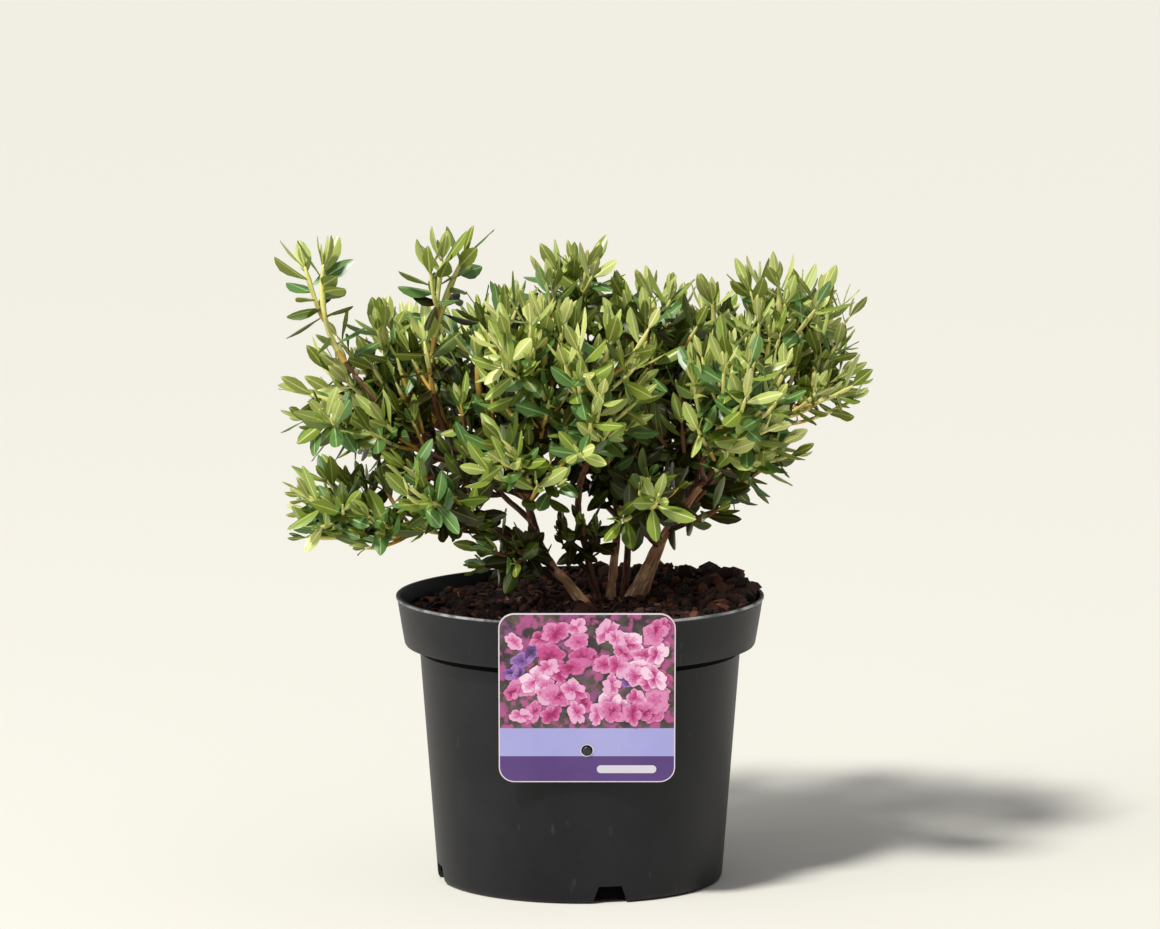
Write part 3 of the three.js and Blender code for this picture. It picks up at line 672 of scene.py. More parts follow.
def make_crumbs(draw):
    """Loose clods, larger and piled higher at the right and the back."""
    corners, faces = rock_template()
    bundle = Bundle()
    for _ in range(SOIL.crumbs):
        x, y, z = scattered(draw)
        heap = np.clip((x * 0.8 + y * 0.55 - 14) / 55, 0, 1)
        size = min(draw.lognormal(math.log(1.3 + 1.2 * heap), 0.5), 3.4 + 2.4 * heap)
        if math.hypot(x, y) + size > 92.5 and z < POT.height - 1:
            continue
        rough = corners * draw.uniform(0.75, 1.25, (len(corners), 1))
        shape = rough * np.array([1, draw.uniform(0.7, 1), draw.uniform(0.6, 0.9)]) * size
        shape = shape @ random_turn(draw).T
        lift = size * 0.3 + heap * draw.uniform(0, 3.2)
        look = int(draw.choice(len(CRUMB_TINTS), p=CRUMB_SHARES))
        bundle.add(shape + [x, y, z + lift], faces, [look] * len(faces))
    crumbs = bundle.piece("compost_crumbs", paints("compost_crumb", CRUMB_TINTS, 0.9))
    finish_piece(crumbs, ["soil"], smooth_below=35)


def make_flakes(draw):
    """Flat flakes of bark that lie in the compost."""
    corners, faces = slab_template()
    bundle = Bundle()
    for _ in range(SOIL.flakes):
        x, y, z = scattered(draw, 87)
        size = min(draw.lognormal(math.log(1.9), 0.62), 7.5)
        rough = corners * draw.uniform(0.75, 1.25, (len(corners), 1))
        shape = rough * np.array([size, size * draw.uniform(0.6, 1), size * 0.9])
        shape = shape @ random_turn(draw, 0.28).T
        look = int(draw.choice(len(FLAKE_TINTS), p=FLAKE_SHARES))
        bundle.add(shape + [x, y, z + 0.7], faces, [look] * len(faces))
    flakes = bundle.piece("bark_flakes", paints("bark_flake", FLAKE_TINTS, 0.8))
    finish_piece(flakes, ["soil"], smooth_below=30)


# ---------------------------------------------------------------- label and its stud

label_lean = math.atan2(POT.rim_radius - POT.skirt_foot_radius, POT.skirt_height)
stud_level = STUD.from_foot - LABEL.height


def hang_on_skirt(thing):
    """From the label's own frame, x across, y up and z to the front, to its place on the pot."""
    top_front = -(POT.rim_radius + GAP) - (LABEL.top - POT.height) * math.tan(label_lean)
    thing.rotation_euler = (math.pi / 2 + label_lean, 0, 0)
    thing.location = (LABEL.x * MM, top_front * MM, LABEL.top * MM)
    settle(thing)
    return thing


def rounded_card(name, width, height, corner, middle, low, thick):
    """A card with round corners between two depths, drawn up from a plane."""
    bpy.ops.mesh.primitive_plane_add(size=1)
    card = bpy.context.object
    card.name = name
    card.scale = (width * MM, height * MM, 1)
    card.location = (0, middle * MM, low * MM)
    settle(card)
    with edit_mode(card):
        bpy.ops.mesh.bevel(offset=corner * MM, segments=10, affect="VERTICES")
        bpy.ops.mesh.select_all(action="SELECT")
        bpy.ops.mesh.extrude_region_move(TRANSFORM_OT_translate={"value": (0, 0, thick * MM)})
        face_outwards()
    return card


def punch(card, radius):
    """Makes the round hole for the stud with a bar 6 mm long."""
    bpy.ops.mesh.primitive_cylinder_add(
        vertices=32, radius=radius * MM, depth=6 * MM, location=(0, stud_level * MM, MM),
    )
    bar = bpy.context.object
    settle(bar)
    cut_away(card, bar)


def crop_between(thing, low, high):
    """Keeps what lies between two heights of the label's own frame, closed where it is cut."""
    with edit_mode(thing):
        for level, inner in ((low, True), (high, False)):
            bpy.ops.mesh.select_all(action="SELECT")
            bpy.ops.mesh.bisect(
                plane_co=(0, level * MM, 0), plane_no=(0, 1, 0), use_fill=True,
                clear_inner=inner, clear_outer=not inner,
            )


def finish_print(thing, material):
    """Hangs a printed or bare part of the card on the pot, in its material."""
    thing.data.materials.append(material)
    finish_piece(hang_on_skirt(thing), ["label"])


def card_face(name, low, high, material):
    """A printed area of the card: the card's outline less its margin, between two heights."""
    margin = LABEL.margin
    face = rounded_card(
        name, LABEL.width - 2 * margin, LABEL.height - 2 * margin, LABEL.corner - margin,
        -LABEL.height / 2, LABEL.thickness + 0.01, 0.05,
    )
    punch(face, LABEL.hole + 0.5)
    crop_between(face, low, high)
    finish_print(face, material)


def petal_outline(draw):
    """One broad ruffled petal, from its claw to its pointed end, as (along, half width)."""
    return [
        (0.04, 0.06),
        (0.28, 0.24 * draw.uniform(0.9, 1.1)),
        (0.5, 0.42 * draw.uniform(0.9, 1.15)),
        (0.72, 0.48 * draw.uniform(0.85, 1.15)),
        (0.9, 0.34 * draw.uniform(0.8, 1.2)),
        (1.06, 0.08),
    ]


def add_blossom(bundle, draw, x, y, radius, level, tones):
    """Five ruffled petals round a throat, seen a little from one side. Tones run from the throat
    to the rim, and some petals are a step paler, as if they caught the light."""
    start = draw.uniform(0, 2 * math.pi)
    squash = draw.uniform(0.6, 0.95)
    tilt = draw.uniform(0, math.pi)
    lean = np.array([[math.cos(tilt), -math.sin(tilt)], [math.sin(tilt), math.cos(tilt)]])
    for index in range(5):
        paler = int(draw.integers(-1, 3))
        turn = start + index * 2 * math.pi / 5 + draw.uniform(-0.12, 0.12)
        ahead = np.array([math.cos(turn), math.sin(turn)]) * draw.uniform(0.85, 1.1)
        aside = np.array([-ahead[1], ahead[0]])
        rows = []
        for along, half in petal_outline(draw):
            ruffle = draw.uniform(-0.08, 0.08, 4) * along
            offsets = np.array([-1, -0.4, 0.4, 1]) * half
            rows += [ahead * (along + r) + aside * offset for offset, r in zip(offsets, ruffle)]
        points = np.array(rows) * radius @ lean * np.array([squash, 1]) @ lean.T
        depth = np.full((len(points), 1), level + 0.002 * index)
        faces, looks = [], []
        for row in range(5):
            for column in range(3):
                corner = row * 4 + column
                faces.append((corner, corner + 4, corner + 5, corner + 1))
                step = row + paler if column == 1 else row + 1 + paler
                looks.append(tones[int(np.clip(step, 0, len(tones) - 1))])
        bundle.add(np.hstack([points + [x, y], depth]), faces, looks)


BLOSSOM_TINTS = [
    (146, 22, 86), (172, 42, 112), (190, 72, 136), (202, 102, 158), (214, 134, 180),
    (226, 168, 204), (240, 204, 226),
    (58, 34, 76), (92, 54, 122), (124, 82, 156), (156, 112, 182), (194, 156, 208),
]
PINKS = [
    [1, 2, 3, 4, 5], [0, 1, 2, 3, 4], [1, 3, 4, 5, 6], [0, 2, 3, 3, 4], [2, 3, 4, 5, 5],
    [0, 1, 2, 2, 3],
]
VIOLETS = [[7, 8, 9, 9, 10], [7, 8, 8, 9, 10], [8, 9, 10, 10, 11]]
BLOOM_FLOOR = -61
LILAC_FLOOR = -76
VIOLET_SIDE = -22


def make_blossoms(draw):
    """Clusters of printed blossoms over the picture, overlapping like shingles."""
    bundle = Bundle()
    across = LABEL.width / 2 - LABEL.margin
    level = LABEL.thickness + 0.1
    spots = [
        (x + (row % 2) * 5 + draw.normal(0, 2.4), y + draw.normal(0, 2.4))
        for row, y in enumerate(np.linspace(BLOOM_FLOOR + 7, -7, 8))
        for x in np.linspace(-across + 6, across - 6, 10)
    ]
    for index in draw.permutation(len(spots)):
        radius = draw.uniform(4.6, 8)
        reach = 1.24 * radius
        x = float(np.clip(spots[index][0], reach - across, across - reach))
        y = float(np.clip(spots[index][1], BLOOM_FLOOR + reach, -LABEL.margin - reach))
        if draw.uniform() < (0.4 if x < VIOLET_SIDE else 0.2):
            continue
        family = VIOLETS if draw.uniform() < (0.45 if x < VIOLET_SIDE else 0.02) else PINKS
        tones = family[int(draw.integers(len(family)))]
        add_blossom(bundle, draw, x, y, radius, level, tones)
        level += 0.011
    blossoms = bundle.piece("label_blossoms", paints("petal_print", BLOSSOM_TINTS, 0.32))
    with edit_mode(blossoms):
        face_outwards()
    finish_piece(hang_on_skirt(blossoms), ["label"])


def printed(name, colour, dust, film, marks, roughness):
    """A smooth coated print."""
    return handled(name, colour, tint(*dust), film, marks, roughness, 0.02)


def make_label(draw):
    card = rounded_card(
        "label_board", LABEL.width, LABEL.height, LABEL.corner,
        -LABEL.height / 2, 0, LABEL.thickness,
    )
    punch(card, LABEL.hole)
    finish_print(card, printed("white_card", tint(226, 214, 226), (190, 184, 190), 0.2, 0.3, 0.35))
    picture = printed("picture_ground", printed_ground, (170, 160, 176), 0.06, 0.2, 0.3)
    lilac = printed("lilac_band", tint(158, 158, 218), (196, 194, 226), 0.25, 0.2, 0.32)
    violet = printed("violet_band", tint(76, 46, 116), (120, 92, 150), 0.25, 0.2, 0.32)
    card_face("label_picture", BLOOM_FLOOR, 1, picture)
    card_face("label_lilac_band", LILAC_FLOOR, BLOOM_FLOOR, lilac)
    card_face("label_violet_band", -LABEL.height, LILAC_FLOOR, violet)
    make_blossoms(draw)
    field = rounded_card("label_pale_field", 30, 4.2, 2, -83, LABEL.thickness + 0.07, 0.05)
    field.location.x = 20 * MM
    settle(field)
    finish_print(field, printed("pale_print", tint(214, 212, 224), (180, 176, 186), 0.3, 0.3, 0.35))


def make_stud():
    face = LABEL.thickness + GAP
    dome = [
        (STUD.head_radius * math.cos(turn), face + 0.25 + (STUD.head - 0.25) * math.sin(turn))
        for turn in np.radians([0, 25, 50, 72])
    ]
    profile = [
        (STUD.shank_radius, -STUD.shank),
        (STUD.shank_radius, face),
        (STUD.head_radius - 0.15, face),
        *dome,
    ]
    stud = turned("push_stud", profile, 32)
    stud.location.y = stud_level * MM
    settle(stud)
    stud.data.materials.append(
        handled("stud_plastic", tint(22, 22, 25), tint(90, 90, 94), 0.2, 0.3, 0.35, 0.03))
    finish_piece(hang_on_skirt(stud), ["label_stud"], smooth_below=40)


# ---------------------------------------------------------------- courses of limbs and shoots


def bezier(start, bend, end):
    def curve(times):
        t = times[:, None]
        return (1 - t) ** 2 * start + 2 * (1 - t) * t * bend + t * t * end

    return curve


def through(start, via, end):
    """A smooth curve through three points, with each span timed by its length's square root."""

    def span(before, first, second, after, t):
        gaps = [math.sqrt(np.linalg.norm(b - a)) for a, b in
                ((before, first), (first, second), (second, after))]
        leave = (first - before) / gaps[0] - (second - before) / (gaps[0] + gaps[1])
        leave = (leave + (second - first) / gaps[1]) * gaps[1]
        reach = (second - first) / gaps[1] - (after - first) / (gaps[1] + gaps[2])
        reach = (reach + (after - second) / gaps[2]) * gaps[1]
        square = -3 * first + 3 * second - 2 * leave - reach
        cube = 2 * first - 2 * second + leave + reach
        return first + leave * t + square * t**2 + cube * t**3

    def curve(times):
        return np.array([
            span(2 * start - via, start, via, end, 2 * time) if time < 0.5
            else span(start, via, end, 2 * end - via, 2 * time - 1)
            for time in times
        ])

    return curve


def gone_along(points):
    """How far along its points a line has come at each of them."""
    return np.concatenate([[0], np.cumsum(np.linalg.norm(np.diff(points, axis=0), axis=1))])


def follow(curve, steps):
    """A curve in even straight steps."""
    times = np.linspace(0, 1, 121)
    run = gone_along(curve(times))
    points = curve(np.interp(np.linspace(0, run[-1], steps + 1), run, times))
    return Sizes(points=points, steps=steps, length=float(gone_along(points)[-1]))


def place_on(course, share):
    step = min(int(share * course.steps), course.steps - 1)
    return lerp(course.points[step], course.points[step + 1], share * course.steps - step)


def heading_on(course, share):
    step = min(int(share * course.steps), course.steps - 1)
    return unit(course.points[step + 1] - course.points[step])


def across(axis):
    """Two directions square to axis, the first of them level."""
    level = np.array([-axis[1], axis[0], 0.0])
    if level @ level < 1e-6:
        level = np.array([1.0, 0, 0])
    level = unit(level)
    return level, unit(np.cross(axis, level))


def around(axis, angle):
    first, second = across(axis)
    return first * math.cos(angle) + second * math.sin(angle)


def tube(points, radii, sides, relief=None):
    """A round limb along its course, pointed at both ends. Its grain runs with it."""
    ways = np.gradient(points, axis=0)
    ways /= np.linalg.norm(ways, axis=1)[:, None]
    side = across(ways[0])[0]
    run = gone_along(points)
    turns = np.linspace(0, 2 * math.pi, sides, endpoint=False)
    rings, grain = [], []
    for point, way, radius, gone in zip(points, ways, radii, run):
        side = unit(side - way * (side @ way))
        up = np.cross(way, side)
        spokes = np.outer(np.cos(turns), side) + np.outer(np.sin(turns), up)
        swell = np.ones(sides) if relief is None else relief(turns, gone)
        rings.append(point + spokes * (radius * swell)[:, None])
        flat = np.stack([np.cos(turns) * radius, np.sin(turns) * radius], axis=1)
        grain.append(np.hstack([flat * 1.6, np.full((sides, 1), gone * 0.22)]))
    count = len(points)
    body = np.concatenate([*rings, points[:1] - ways[:1] * 0.2, points[-1:] + ways[-1:] * 0.3])
    grain = np.concatenate([*grain, [[0, 0, 0]], [[0, 0, run[-1] * 0.22]]])
    faces = []
    for ring in range(count - 1):
        for s in range(sides):
            a, b = ring * sides + s, ring * sides + (s + 1) % sides
            faces.append((a, b, b + sides, a + sides))
    foot, tip = count * sides, count * sides + 1
    last = (count - 1) * sides
    faces += [(foot, (s + 1) % sides, s) for s in range(sides)]
    faces += [(tip, last + s, last + (s + 1) % sides) for s in range(sides)]
    return body, faces, grain


# ---------------------------------------------------------------- limbs

limbs = {}
DARK_STEMS = ("stem_centre", "stem_rear")
WANDER_SEED = 14  # noise_vector would otherwise shift its field anew at each run


def lay_limbs():
    """The courses of all stems and boughs, as the solids have them."""
    for name, (foot, via, to, radius) in STEMS.items():
        start = np.array([*foot, SOIL.centre_height + GAP])
        course = follow(through(start, np.array(via, float), np.array(to, float)), 60)
        limbs[name] = Sizes(course=course, radius=radius, stem=True)
    for name, (on, at, via, to, radius) in BOUGHS.items():
        start = place_on(limbs[on].course, at)
        course = follow(through(start, np.array(via, float), np.array(to, float)), 40)
        limbs[name] = Sizes(course=course, radius=radius, stem=False)


def bark_relief(seed):
    """Furrows along the limb, and a low swelling at each old leaf scar."""

    def relief(turns, gone):
        swell = []
        for turn in turns:
            place = Vector((math.cos(turn) * 1.3, math.sin(turn) * 1.3, gone * 0.16 + seed))
            furrow = noise.noise(place * 1.4) * 0.12
            knob = noise.noise(Vector((math.cos(turn) * 0.7, gone * 0.23, seed * 3.1))) * 0.1
            swell.append(1 + furrow + knob)
        return np.array(swell)

    return relief


def make_limbs():
    """Stems and boughs in one piece; the bark is paler at the stems' feet and redder above."""
    noise.seed_set(WANDER_SEED)
    bundle = Bundle()
    for index, (name, limb) in enumerate(limbs.items()):
        course = limb.course
        steps = max(12, round(course.length / 1.1))
        shares = np.linspace(0, 1, steps + 1)
        points = np.array([place_on(course, share) for share in shares])
        wander = 0.7 if limb.stem else 0.45
        bend = [noise.noise_vector(Vector((*point,)) / 14) for point in points]
        points = points + np.array(bend) * wander * np.minimum(1, shares * 5)[:, None]
        radii = lerp(limb.radius[0], limb.radius[1], shares)
        away = shares * course.length
        radii = radii * (1 + 0.3 * np.exp(-away / (5 if limb.stem else 3)))
        if limb.stem:
            points = np.vstack([points[0] - [0, 0, 4], points])
            radii = np.concatenate([[radii[0] * 1.1], radii])
        sides = 16 if limb.stem else 12
        body, faces, grain = tube(points, radii, sides, bark_relief(index * 1.7))
        grain = grain + [0, 0, index * 31.0]
        pale = limb.stem and name not in DARK_STEMS
        gone = np.linalg.norm(body[[face[0] for face in faces]] - points[0], axis=1)
        bundle.add(body, faces, [bark_look(pale, g, course.length) for g in gone], grain)
    barks = [
        bark("bark_foot", (124, 80, 54), (204, 156, 114), (240, 214, 184)),
        bark("bark_stem", (84, 50, 34), (168, 118, 82), (212, 174, 136)),
        bark("bark_bough", (54, 31, 23), (112, 68, 48), (150, 106, 78)),
    ]
    made = bundle.piece("stems_and_boughs", barks)
    finish_piece(made, list(limbs), smooth_below=50)


def bark_look(pale, gone, length):
    """Pale stems go from their light foot to the dark bark that all boughs have."""
    if pale and gone < 26:
        return 0
    return 1 if pale and gone < length * 0.75 else 2


# ---------------------------------------------------------------- growth of the foliage

MASK = 0xFFFFFFFF


def seeded(seed):
    """The solids' own generator: the same seed grows the same mass."""
    state = seed & MASK

    def draw():
        nonlocal state
        state = (state + 0x6D2B79F5) & MASK
        mixed = (state ^ (state >> 15)) * (state | 1) & MASK
        mixed = ((mixed + ((mixed ^ (mixed >> 7)) * (mixed | 61))) & MASK) ^ mixed
        return ((mixed ^ (mixed >> 14)) & MASK) / (MASK + 1)

    return draw


def leader_of(grown):
    """The mass's own stem, from its limb up to its top rosette."""
    limb = limbs[grown.on]
    root = place_on(limb.course, grown.at)
    span = np.array(grown.top, float) - root
    length = np.linalg.norm(span) - LEAF.over_tip * LEAF.length * grown.size
    span = unit(span)
    ahead = span if grown.at < 1 else heading_on(limb.course, 1)
    bend = root + ahead * length * 0.45
    return follow(bezier(root, bend, root + span * length), 24)


def side_shoot(grown, index):
    """A side shoot by the solids' rule, drawn a little longer because its leaves are life size."""
    share = 0.04 + 0.78 * (index + 0.5) / grown.shoots
    start = place_on(grown.leader, share)
    axis = heading_on(grown.leader, share)
    out = around(axis, grown.turn + index * GOLDEN_ANGLE)
    reach = grown.spread * (0.8 + 0.4 * grown.random()) * (1.1 - 0.4 * share)
    rise = SIDE_SHOOT.rise * (0.7 + 0.6 * grown.random())
    finish = start + out * reach + axis * rise
    finish[2] += SIDE_SHOOT.lift
    finish += unit(finish - start) * SIDE_SHOOT.extra
    bend = start + out * reach * 0.7 + axis * rise * 0.2
    return follow(bezier(start, bend, finish), 16)


def fine_shoot(parent, share, turn, length, draw):
    """A finer twig that leaves a shoot and turns up towards the light."""
    start = place_on(parent, share)
    axis = heading_on(parent, share)
    out = around(axis, turn)
    lean = math.radians(draw.uniform(*FINER_TWIG.leans))
    ahead = unit(axis * math.cos(lean) + out * math.sin(lean) + [0, 0, FINER_TWIG.upward])
    finish = start + ahead * length * 1.1
    bend = start + (out * 0.6 + axis * 0.65) * length * 0.45
    return follow(bezier(start, bend, finish), 10)


def settle_spaces():
    """The solids' first draws: each mass's turn and leader, and the middle of its space."""
    for index, grown in enumerate(MASSES):
        grown.random = seeded(index * 7919 + 17)
        grown.turn = grown.random() * 2 * math.pi
        grown.leader = leader_of(grown)
        grown.middle = place_on(grown.leader, LEADER.middle)
        grown.reach = [np.array(corner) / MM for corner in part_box(f"foliage_{grown.name}")]
    for grown in MASSES:
        between = np.array([other.middle - grown.middle for other in MASSES if other is not grown])
        spans = np.linalg.norm(between, axis=1)
        grown.borders = (between / spans[:, None], spans / 2)


def inside_own_space(points, grown, over):
    """Whether all points keep to the mass's side of the planes between the masses' middles."""
    ways, halves = grown.borders
    return bool(((points - grown.middle) @ ways.T < halves + over).all())


def within_reach(points, grown):
    """Whether all points keep near the mass's own space and inside the reach of its solid."""
    low, high = grown.reach
    boxed = (points > low - LEEWAY.box).all() and (points < high + LEEWAY.box).all()
    below = points[:, 2].max() < grown.top[2] + LEEWAY.top
    return boxed and below and inside_own_space(points, grown, LEEWAY.space)


def limb_places():
    """Places along all limbs with the limb's radius there."""
    places, radii = [], []
    for limb in limbs.values():
        for share in np.linspace(0, 1, round(limb.course.length / 2)):
            places.append(place_on(limb.course, share))
            radii.append(lerp(limb.radius[0], limb.radius[1], share))
    return np.array(places), np.array(radii)


def clear_of_limbs(points, room):
    """Whether all points keep clear of limbs, and of the pot's inside and its rim."""
    places, radii = LIMB_PLACES
    gaps = np.linalg.norm(points[:, None] - places[None], axis=2) - radii
    if gaps.min() < room:
        return False
    low = points[:, 2] < POT.height - ROOM.below_rim
    near = np.hypot(points[:, 0], points[:, 1]) < POT.rim_radius + ROOM.beside_rim
    return not (low & near).any()


# ---------------------------------------------------------------- leaves

# Each kind: upper face, its rib, underside, its rib. The later kinds are darker: for older leaves,
# and as painted shade for leaves inside and under the crown.
LEAF_KINDS = {
    "young": ((202, 210, 122), (238, 238, 180), (192, 198, 110), (238, 238, 180)),
    "fresh": ((172, 188, 96), (220, 222, 152), (160, 172, 82), (222, 222, 152)),
    "summer": ((128, 150, 54), (188, 196, 110), (128, 142, 46), (194, 198, 114)),
    "bluish": ((86, 126, 60), (152, 178, 112), (106, 124, 42), (174, 182, 102)),
    "deep": ((74, 94, 22), (120, 134, 56), (88, 98, 20), (142, 146, 66)),
    "shade": ((44, 46, 9), (80, 80, 28), (62, 62, 13), (104, 100, 42)),
}
LEAF_SHEEN = [0.7, 0.7, 0.7, 0.7, 0.5, 0.25]
STALK_LOOK = 4 * len(LEAF_KINDS)

LEAF_RINGS = np.array([0.07, 0.22, 0.42, 0.63, 0.83, 0.95])
LEAF_HALF = np.array([0.07, 0.28, 0.46, 0.5, 0.34, 0.15])
LEAF_COLUMNS = np.array([-1, -0.55, 0, 0, 0.55, 1, 0, 0])
RIB_SIDE = np.array([0, 0, -1, 1, 0, 0, 1, -1])
UNDER = np.array([0, 0, 0, 0, 0, 0, 1, 1])


def leaf_faces():
    """Faces of a leaf and the part of it that each belongs to: 0 top, 1 rib, 2 under, 3 its rib."""
    part = [0, 0, 1, 0, 0, 2, 3, 2]
    faces, parts = [], []
    rings, columns = len(LEAF_RINGS), len(LEAF_COLUMNS)
    root, tip = rings * columns, rings * columns + 1
    for column in range(columns):
        beside = (column + 1) % columns
        faces.append((root, beside, column))
        parts.append(4)
        for ring in range(rings - 1):
            a, b = ring * columns + column, ring * columns + beside
            faces.append((a, b, b + columns, a + columns))
            parts.append(part[column])
        last = (rings - 1) * columns
        faces.append((last + column, last + beside, tip))
        parts.append(part[column])
    return faces, parts


LEAF_FACES, LEAF_PARTS = leaf_faces()


def leaf_points(leaf):
    """A leaf's corners: a shallow roof over its rib, arched across and curved along."""
    columns = len(LEAF_COLUMNS)
    ring, column = np.meshgrid(LEAF_RINGS, np.arange(columns), indexing="ij")
    rib = RIB.half_at_tip + RIB.more_at_root * (1 - ring)
    half = np.repeat(LEAF_HALF[:, None], columns, axis=1) * leaf.width
    side = LEAF_COLUMNS[column] * half + RIB_SIDE[column] * np.minimum(rib, half * 0.5)
    share = np.abs(side) / (leaf.width / 2)
    drop = leaf.fold * np.abs(side) + leaf.cup * share**2 * leaf.width
    drop += leaf.bend * ring**2 * leaf.length
    drop += np.where(RIB_SIDE[column] != 0, RIB.sunk, 0) + UNDER[column] * LEAF.thickness
    drop += np.where((RIB_SIDE[column] != 0) & (UNDER[column] == 1), RIB.proud_below, 0)
    drop += leaf.twist * side * ring
    along = ring * leaf.length
    sideways = np.cross(leaf.face, leaf.ahead)
    body = (
        leaf.root + along[..., None] * leaf.ahead + side[..., None] * sideways
        - drop[..., None] * leaf.face
    ).reshape(-1, 3)
    tip = leaf.root + leaf.ahead * leaf.length - leaf.face * leaf.bend * leaf.length
    return np.vstack([body, leaf.root, tip])


def leaf_on(shoot, share, turn, pitch, size, youth, draw):
    """The leaf at one place of a shoot; older ones are broader, shorter and more bent back."""
    axis = heading_on(shoot, share)
    out = around(axis, turn)
    ahead = axis * math.cos(pitch) + out * math.sin(pitch)
    face = axis * math.sin(pitch) - out * math.cos(pitch)
    roll = draw.normal(0, 0.35)
    age = max(0, 0.8 - youth)
    face = unit(face * math.cos(roll) + np.cross(ahead, face) * math.sin(roll))
    return Sizes(
        root=place_on(shoot, share), ahead=ahead, face=face,
        length=LEAF.length * size * draw.uniform(0.86, 1.14) * (1 - 0.04 * age),
        width=LEAF.width * size * draw.uniform(0.86, 1.14) * (1 + 0.2 * age),
        bend=draw.normal(0.03 + 0.05 * age, 0.06), fold=abs(draw.normal(0.28, 0.12)),
        cup=draw.uniform(0.02, 0.09), twist=draw.normal(0, 0.12),
    )


def leaf_tests(leaf):
    """Places on a leaf that have to be free."""
    shares = np.array([0.35, 0.6, 0.85, 1.0])
    middle = leaf.root + np.outer(shares * leaf.length, leaf.ahead)
    middle -= np.outer(shares**2 * leaf.length * leaf.bend, leaf.face)
    sideways = np.cross(leaf.face, leaf.ahead) * leaf.width * 0.42
    return np.vstack([middle, middle[1] + sideways, middle[1] - sideways])


def crown_depth(point):
    """How deep a point lies in the crown's shade, which darkens leaves and twigs as painted shade:
    0 at the crown's outside, 1 well inside or under it.
    """
    out = np.linalg.norm((point - CROWN.centre) / CROWN.reach)
    inner = np.clip((0.9 - out) / 0.55, 0, 1)
    under = np.clip((CROWN.shade_top - point[2]) / CROWN.shade_depth, 0, 1)
    under *= np.clip((1.12 - out) / 0.3, 0.25, 1)
    return float(np.clip(inner + 0.48 * under, 0, 1))


ROSETTE = [
    # back from the tip, pitch in degrees, size, how young
    (0.1, 5, 0.46, 2), (0.4, 11, 0.6, 1.9), (1, 17, 0.78, 1.7), (2.2, 26, 0.95, 1.4),
    (4.4, 40, 1.06, 1), (7.2, 53, 1.08, 0.6), (10.4, 63, 1.05, 0.2), (14, 70, 1.02, 0),
    (18, 75, 0.98, -0.3), (22.4, 79, 0.95, -0.6), (27, 83, 0.92, -0.8), (32, 87, 0.88, -1),
    (37, 90, 0.86, -1), (42, 94, 0.84, -1.2), (47, 98, 0.82, -1.2), (52, 101, 0.8, -1.4),
    (57, 103, 0.8, -1.4), (63, 104, 0.8, -1.4), (69, 105, 0.8, -1.4), (75, 105, 0.8, -1.4),
]
SHORT_ROSETTE = ROSETTE[:14]


def kind_of(depth, youth, spray_tone_and_shade, draw):
    """The tint of a leaf: by its age on the shoot, by painted shade for its depth in the crown, and
    by its spray's tone with its mass's painted shade.
    """
    place = 2.4 + 2.7 * depth - 1.1 * youth * (1 - 0.5 * depth) - spray_tone_and_shade + draw.normal(0, 0.65)
    return int(np.clip(round(place), 0, len(LEAF_KINDS) - 1))


class Foliage:
    """Leaves and shoots of one part of the crown, and the nodes that they stand for."""

    def __init__(self):
        self.leaves = Bundle()
        self.shoots = Bundle()
        self.nodes = []


MOST_PLACES = 24000
FAR_AWAY = 1e6


class Taken:
    """Places that are taken, so that no two leaves or shoots' tips fall together."""

    def __init__(self):
        self.places = np.full((MOST_PLACES, 3), FAR_AWAY)
        self.count = 0

    def add(self, place):
        self.places[self.count] = place
        self.count += 1

    def free(self, place, room):
        held = self.places[: self.count + 1]
        return ((held - place) ** 2).sum(axis=1).min() > room**2


leaf_middles = Taken()
shoot_tips = Taken()


TWIG_SHARES = [0, 0.5, 0.8, 1]
TWIG_RADII = np.array([0.95, 0.85, 1.1, 0.4])


def add_twig(part, course, radii, ripening):
    """The twig of a shoot: thicker near its growing end than in its middle, tapered at its tip."""
    steps = max(4, round(course.length / 3.5))
    shares = np.linspace(0, 1, steps + 1)
    points = np.array([place_on(course, share) for share in shares])
    body, faces, _ = tube(points, np.interp(shares, TWIG_SHARES, radii), 6)
    # Twigs deep in the crown turn brown and dark nearer their tips: painted shade.
    depth = crown_depth(course.points[-1])
    away = np.linalg.norm(body[[face[0] for face in faces]] - points[-1], axis=1)
    part.shoots.add(body, faces, [shoot_look(gone * ripening + 56 * depth) for gone in away])


def shoot_look(away):
    """Yellow-green at the growing end, then amber, then brown."""
    return 0 if away < 26 else 1 if away < 40 else 2 if away < 60 else 3


def leaves_along(grown, course, rows, size, draw):
    """The leaves that fit on a shoot, from the tip down: upright at the tip, spreading below. A
    leader always holds its youngest ones."""
    leaves = []
    turn = draw.uniform(0, 2 * math.pi)
    for back, pitch, scale, youth in rows:
        turn += GOLDEN_ANGLE + draw.normal(0, 0.25)
        fallible = back > LEAF.fallen_behind
        if back > course.length - 2 or (fallible and draw.uniform() < LEAF.fallen_share):
            continue
        share = 1 - back / course.length
        pitch = math.radians(pitch + draw.normal(0, 10))
        leaf = leaf_on(course, share, turn, pitch, scale * size, youth, draw)
        tests = leaf_tests(leaf)
        held = course is grown.leader and youth > 0.5
        fits = within_reach(tests, grown) and leaf_middles.free(tests[1], ROOM.leaf)
        if (held or fits) and clear_of_limbs(tests, ROOM.leaf_to_limb):
            leaves.append((leaf, tests[1], youth))
    return leaves


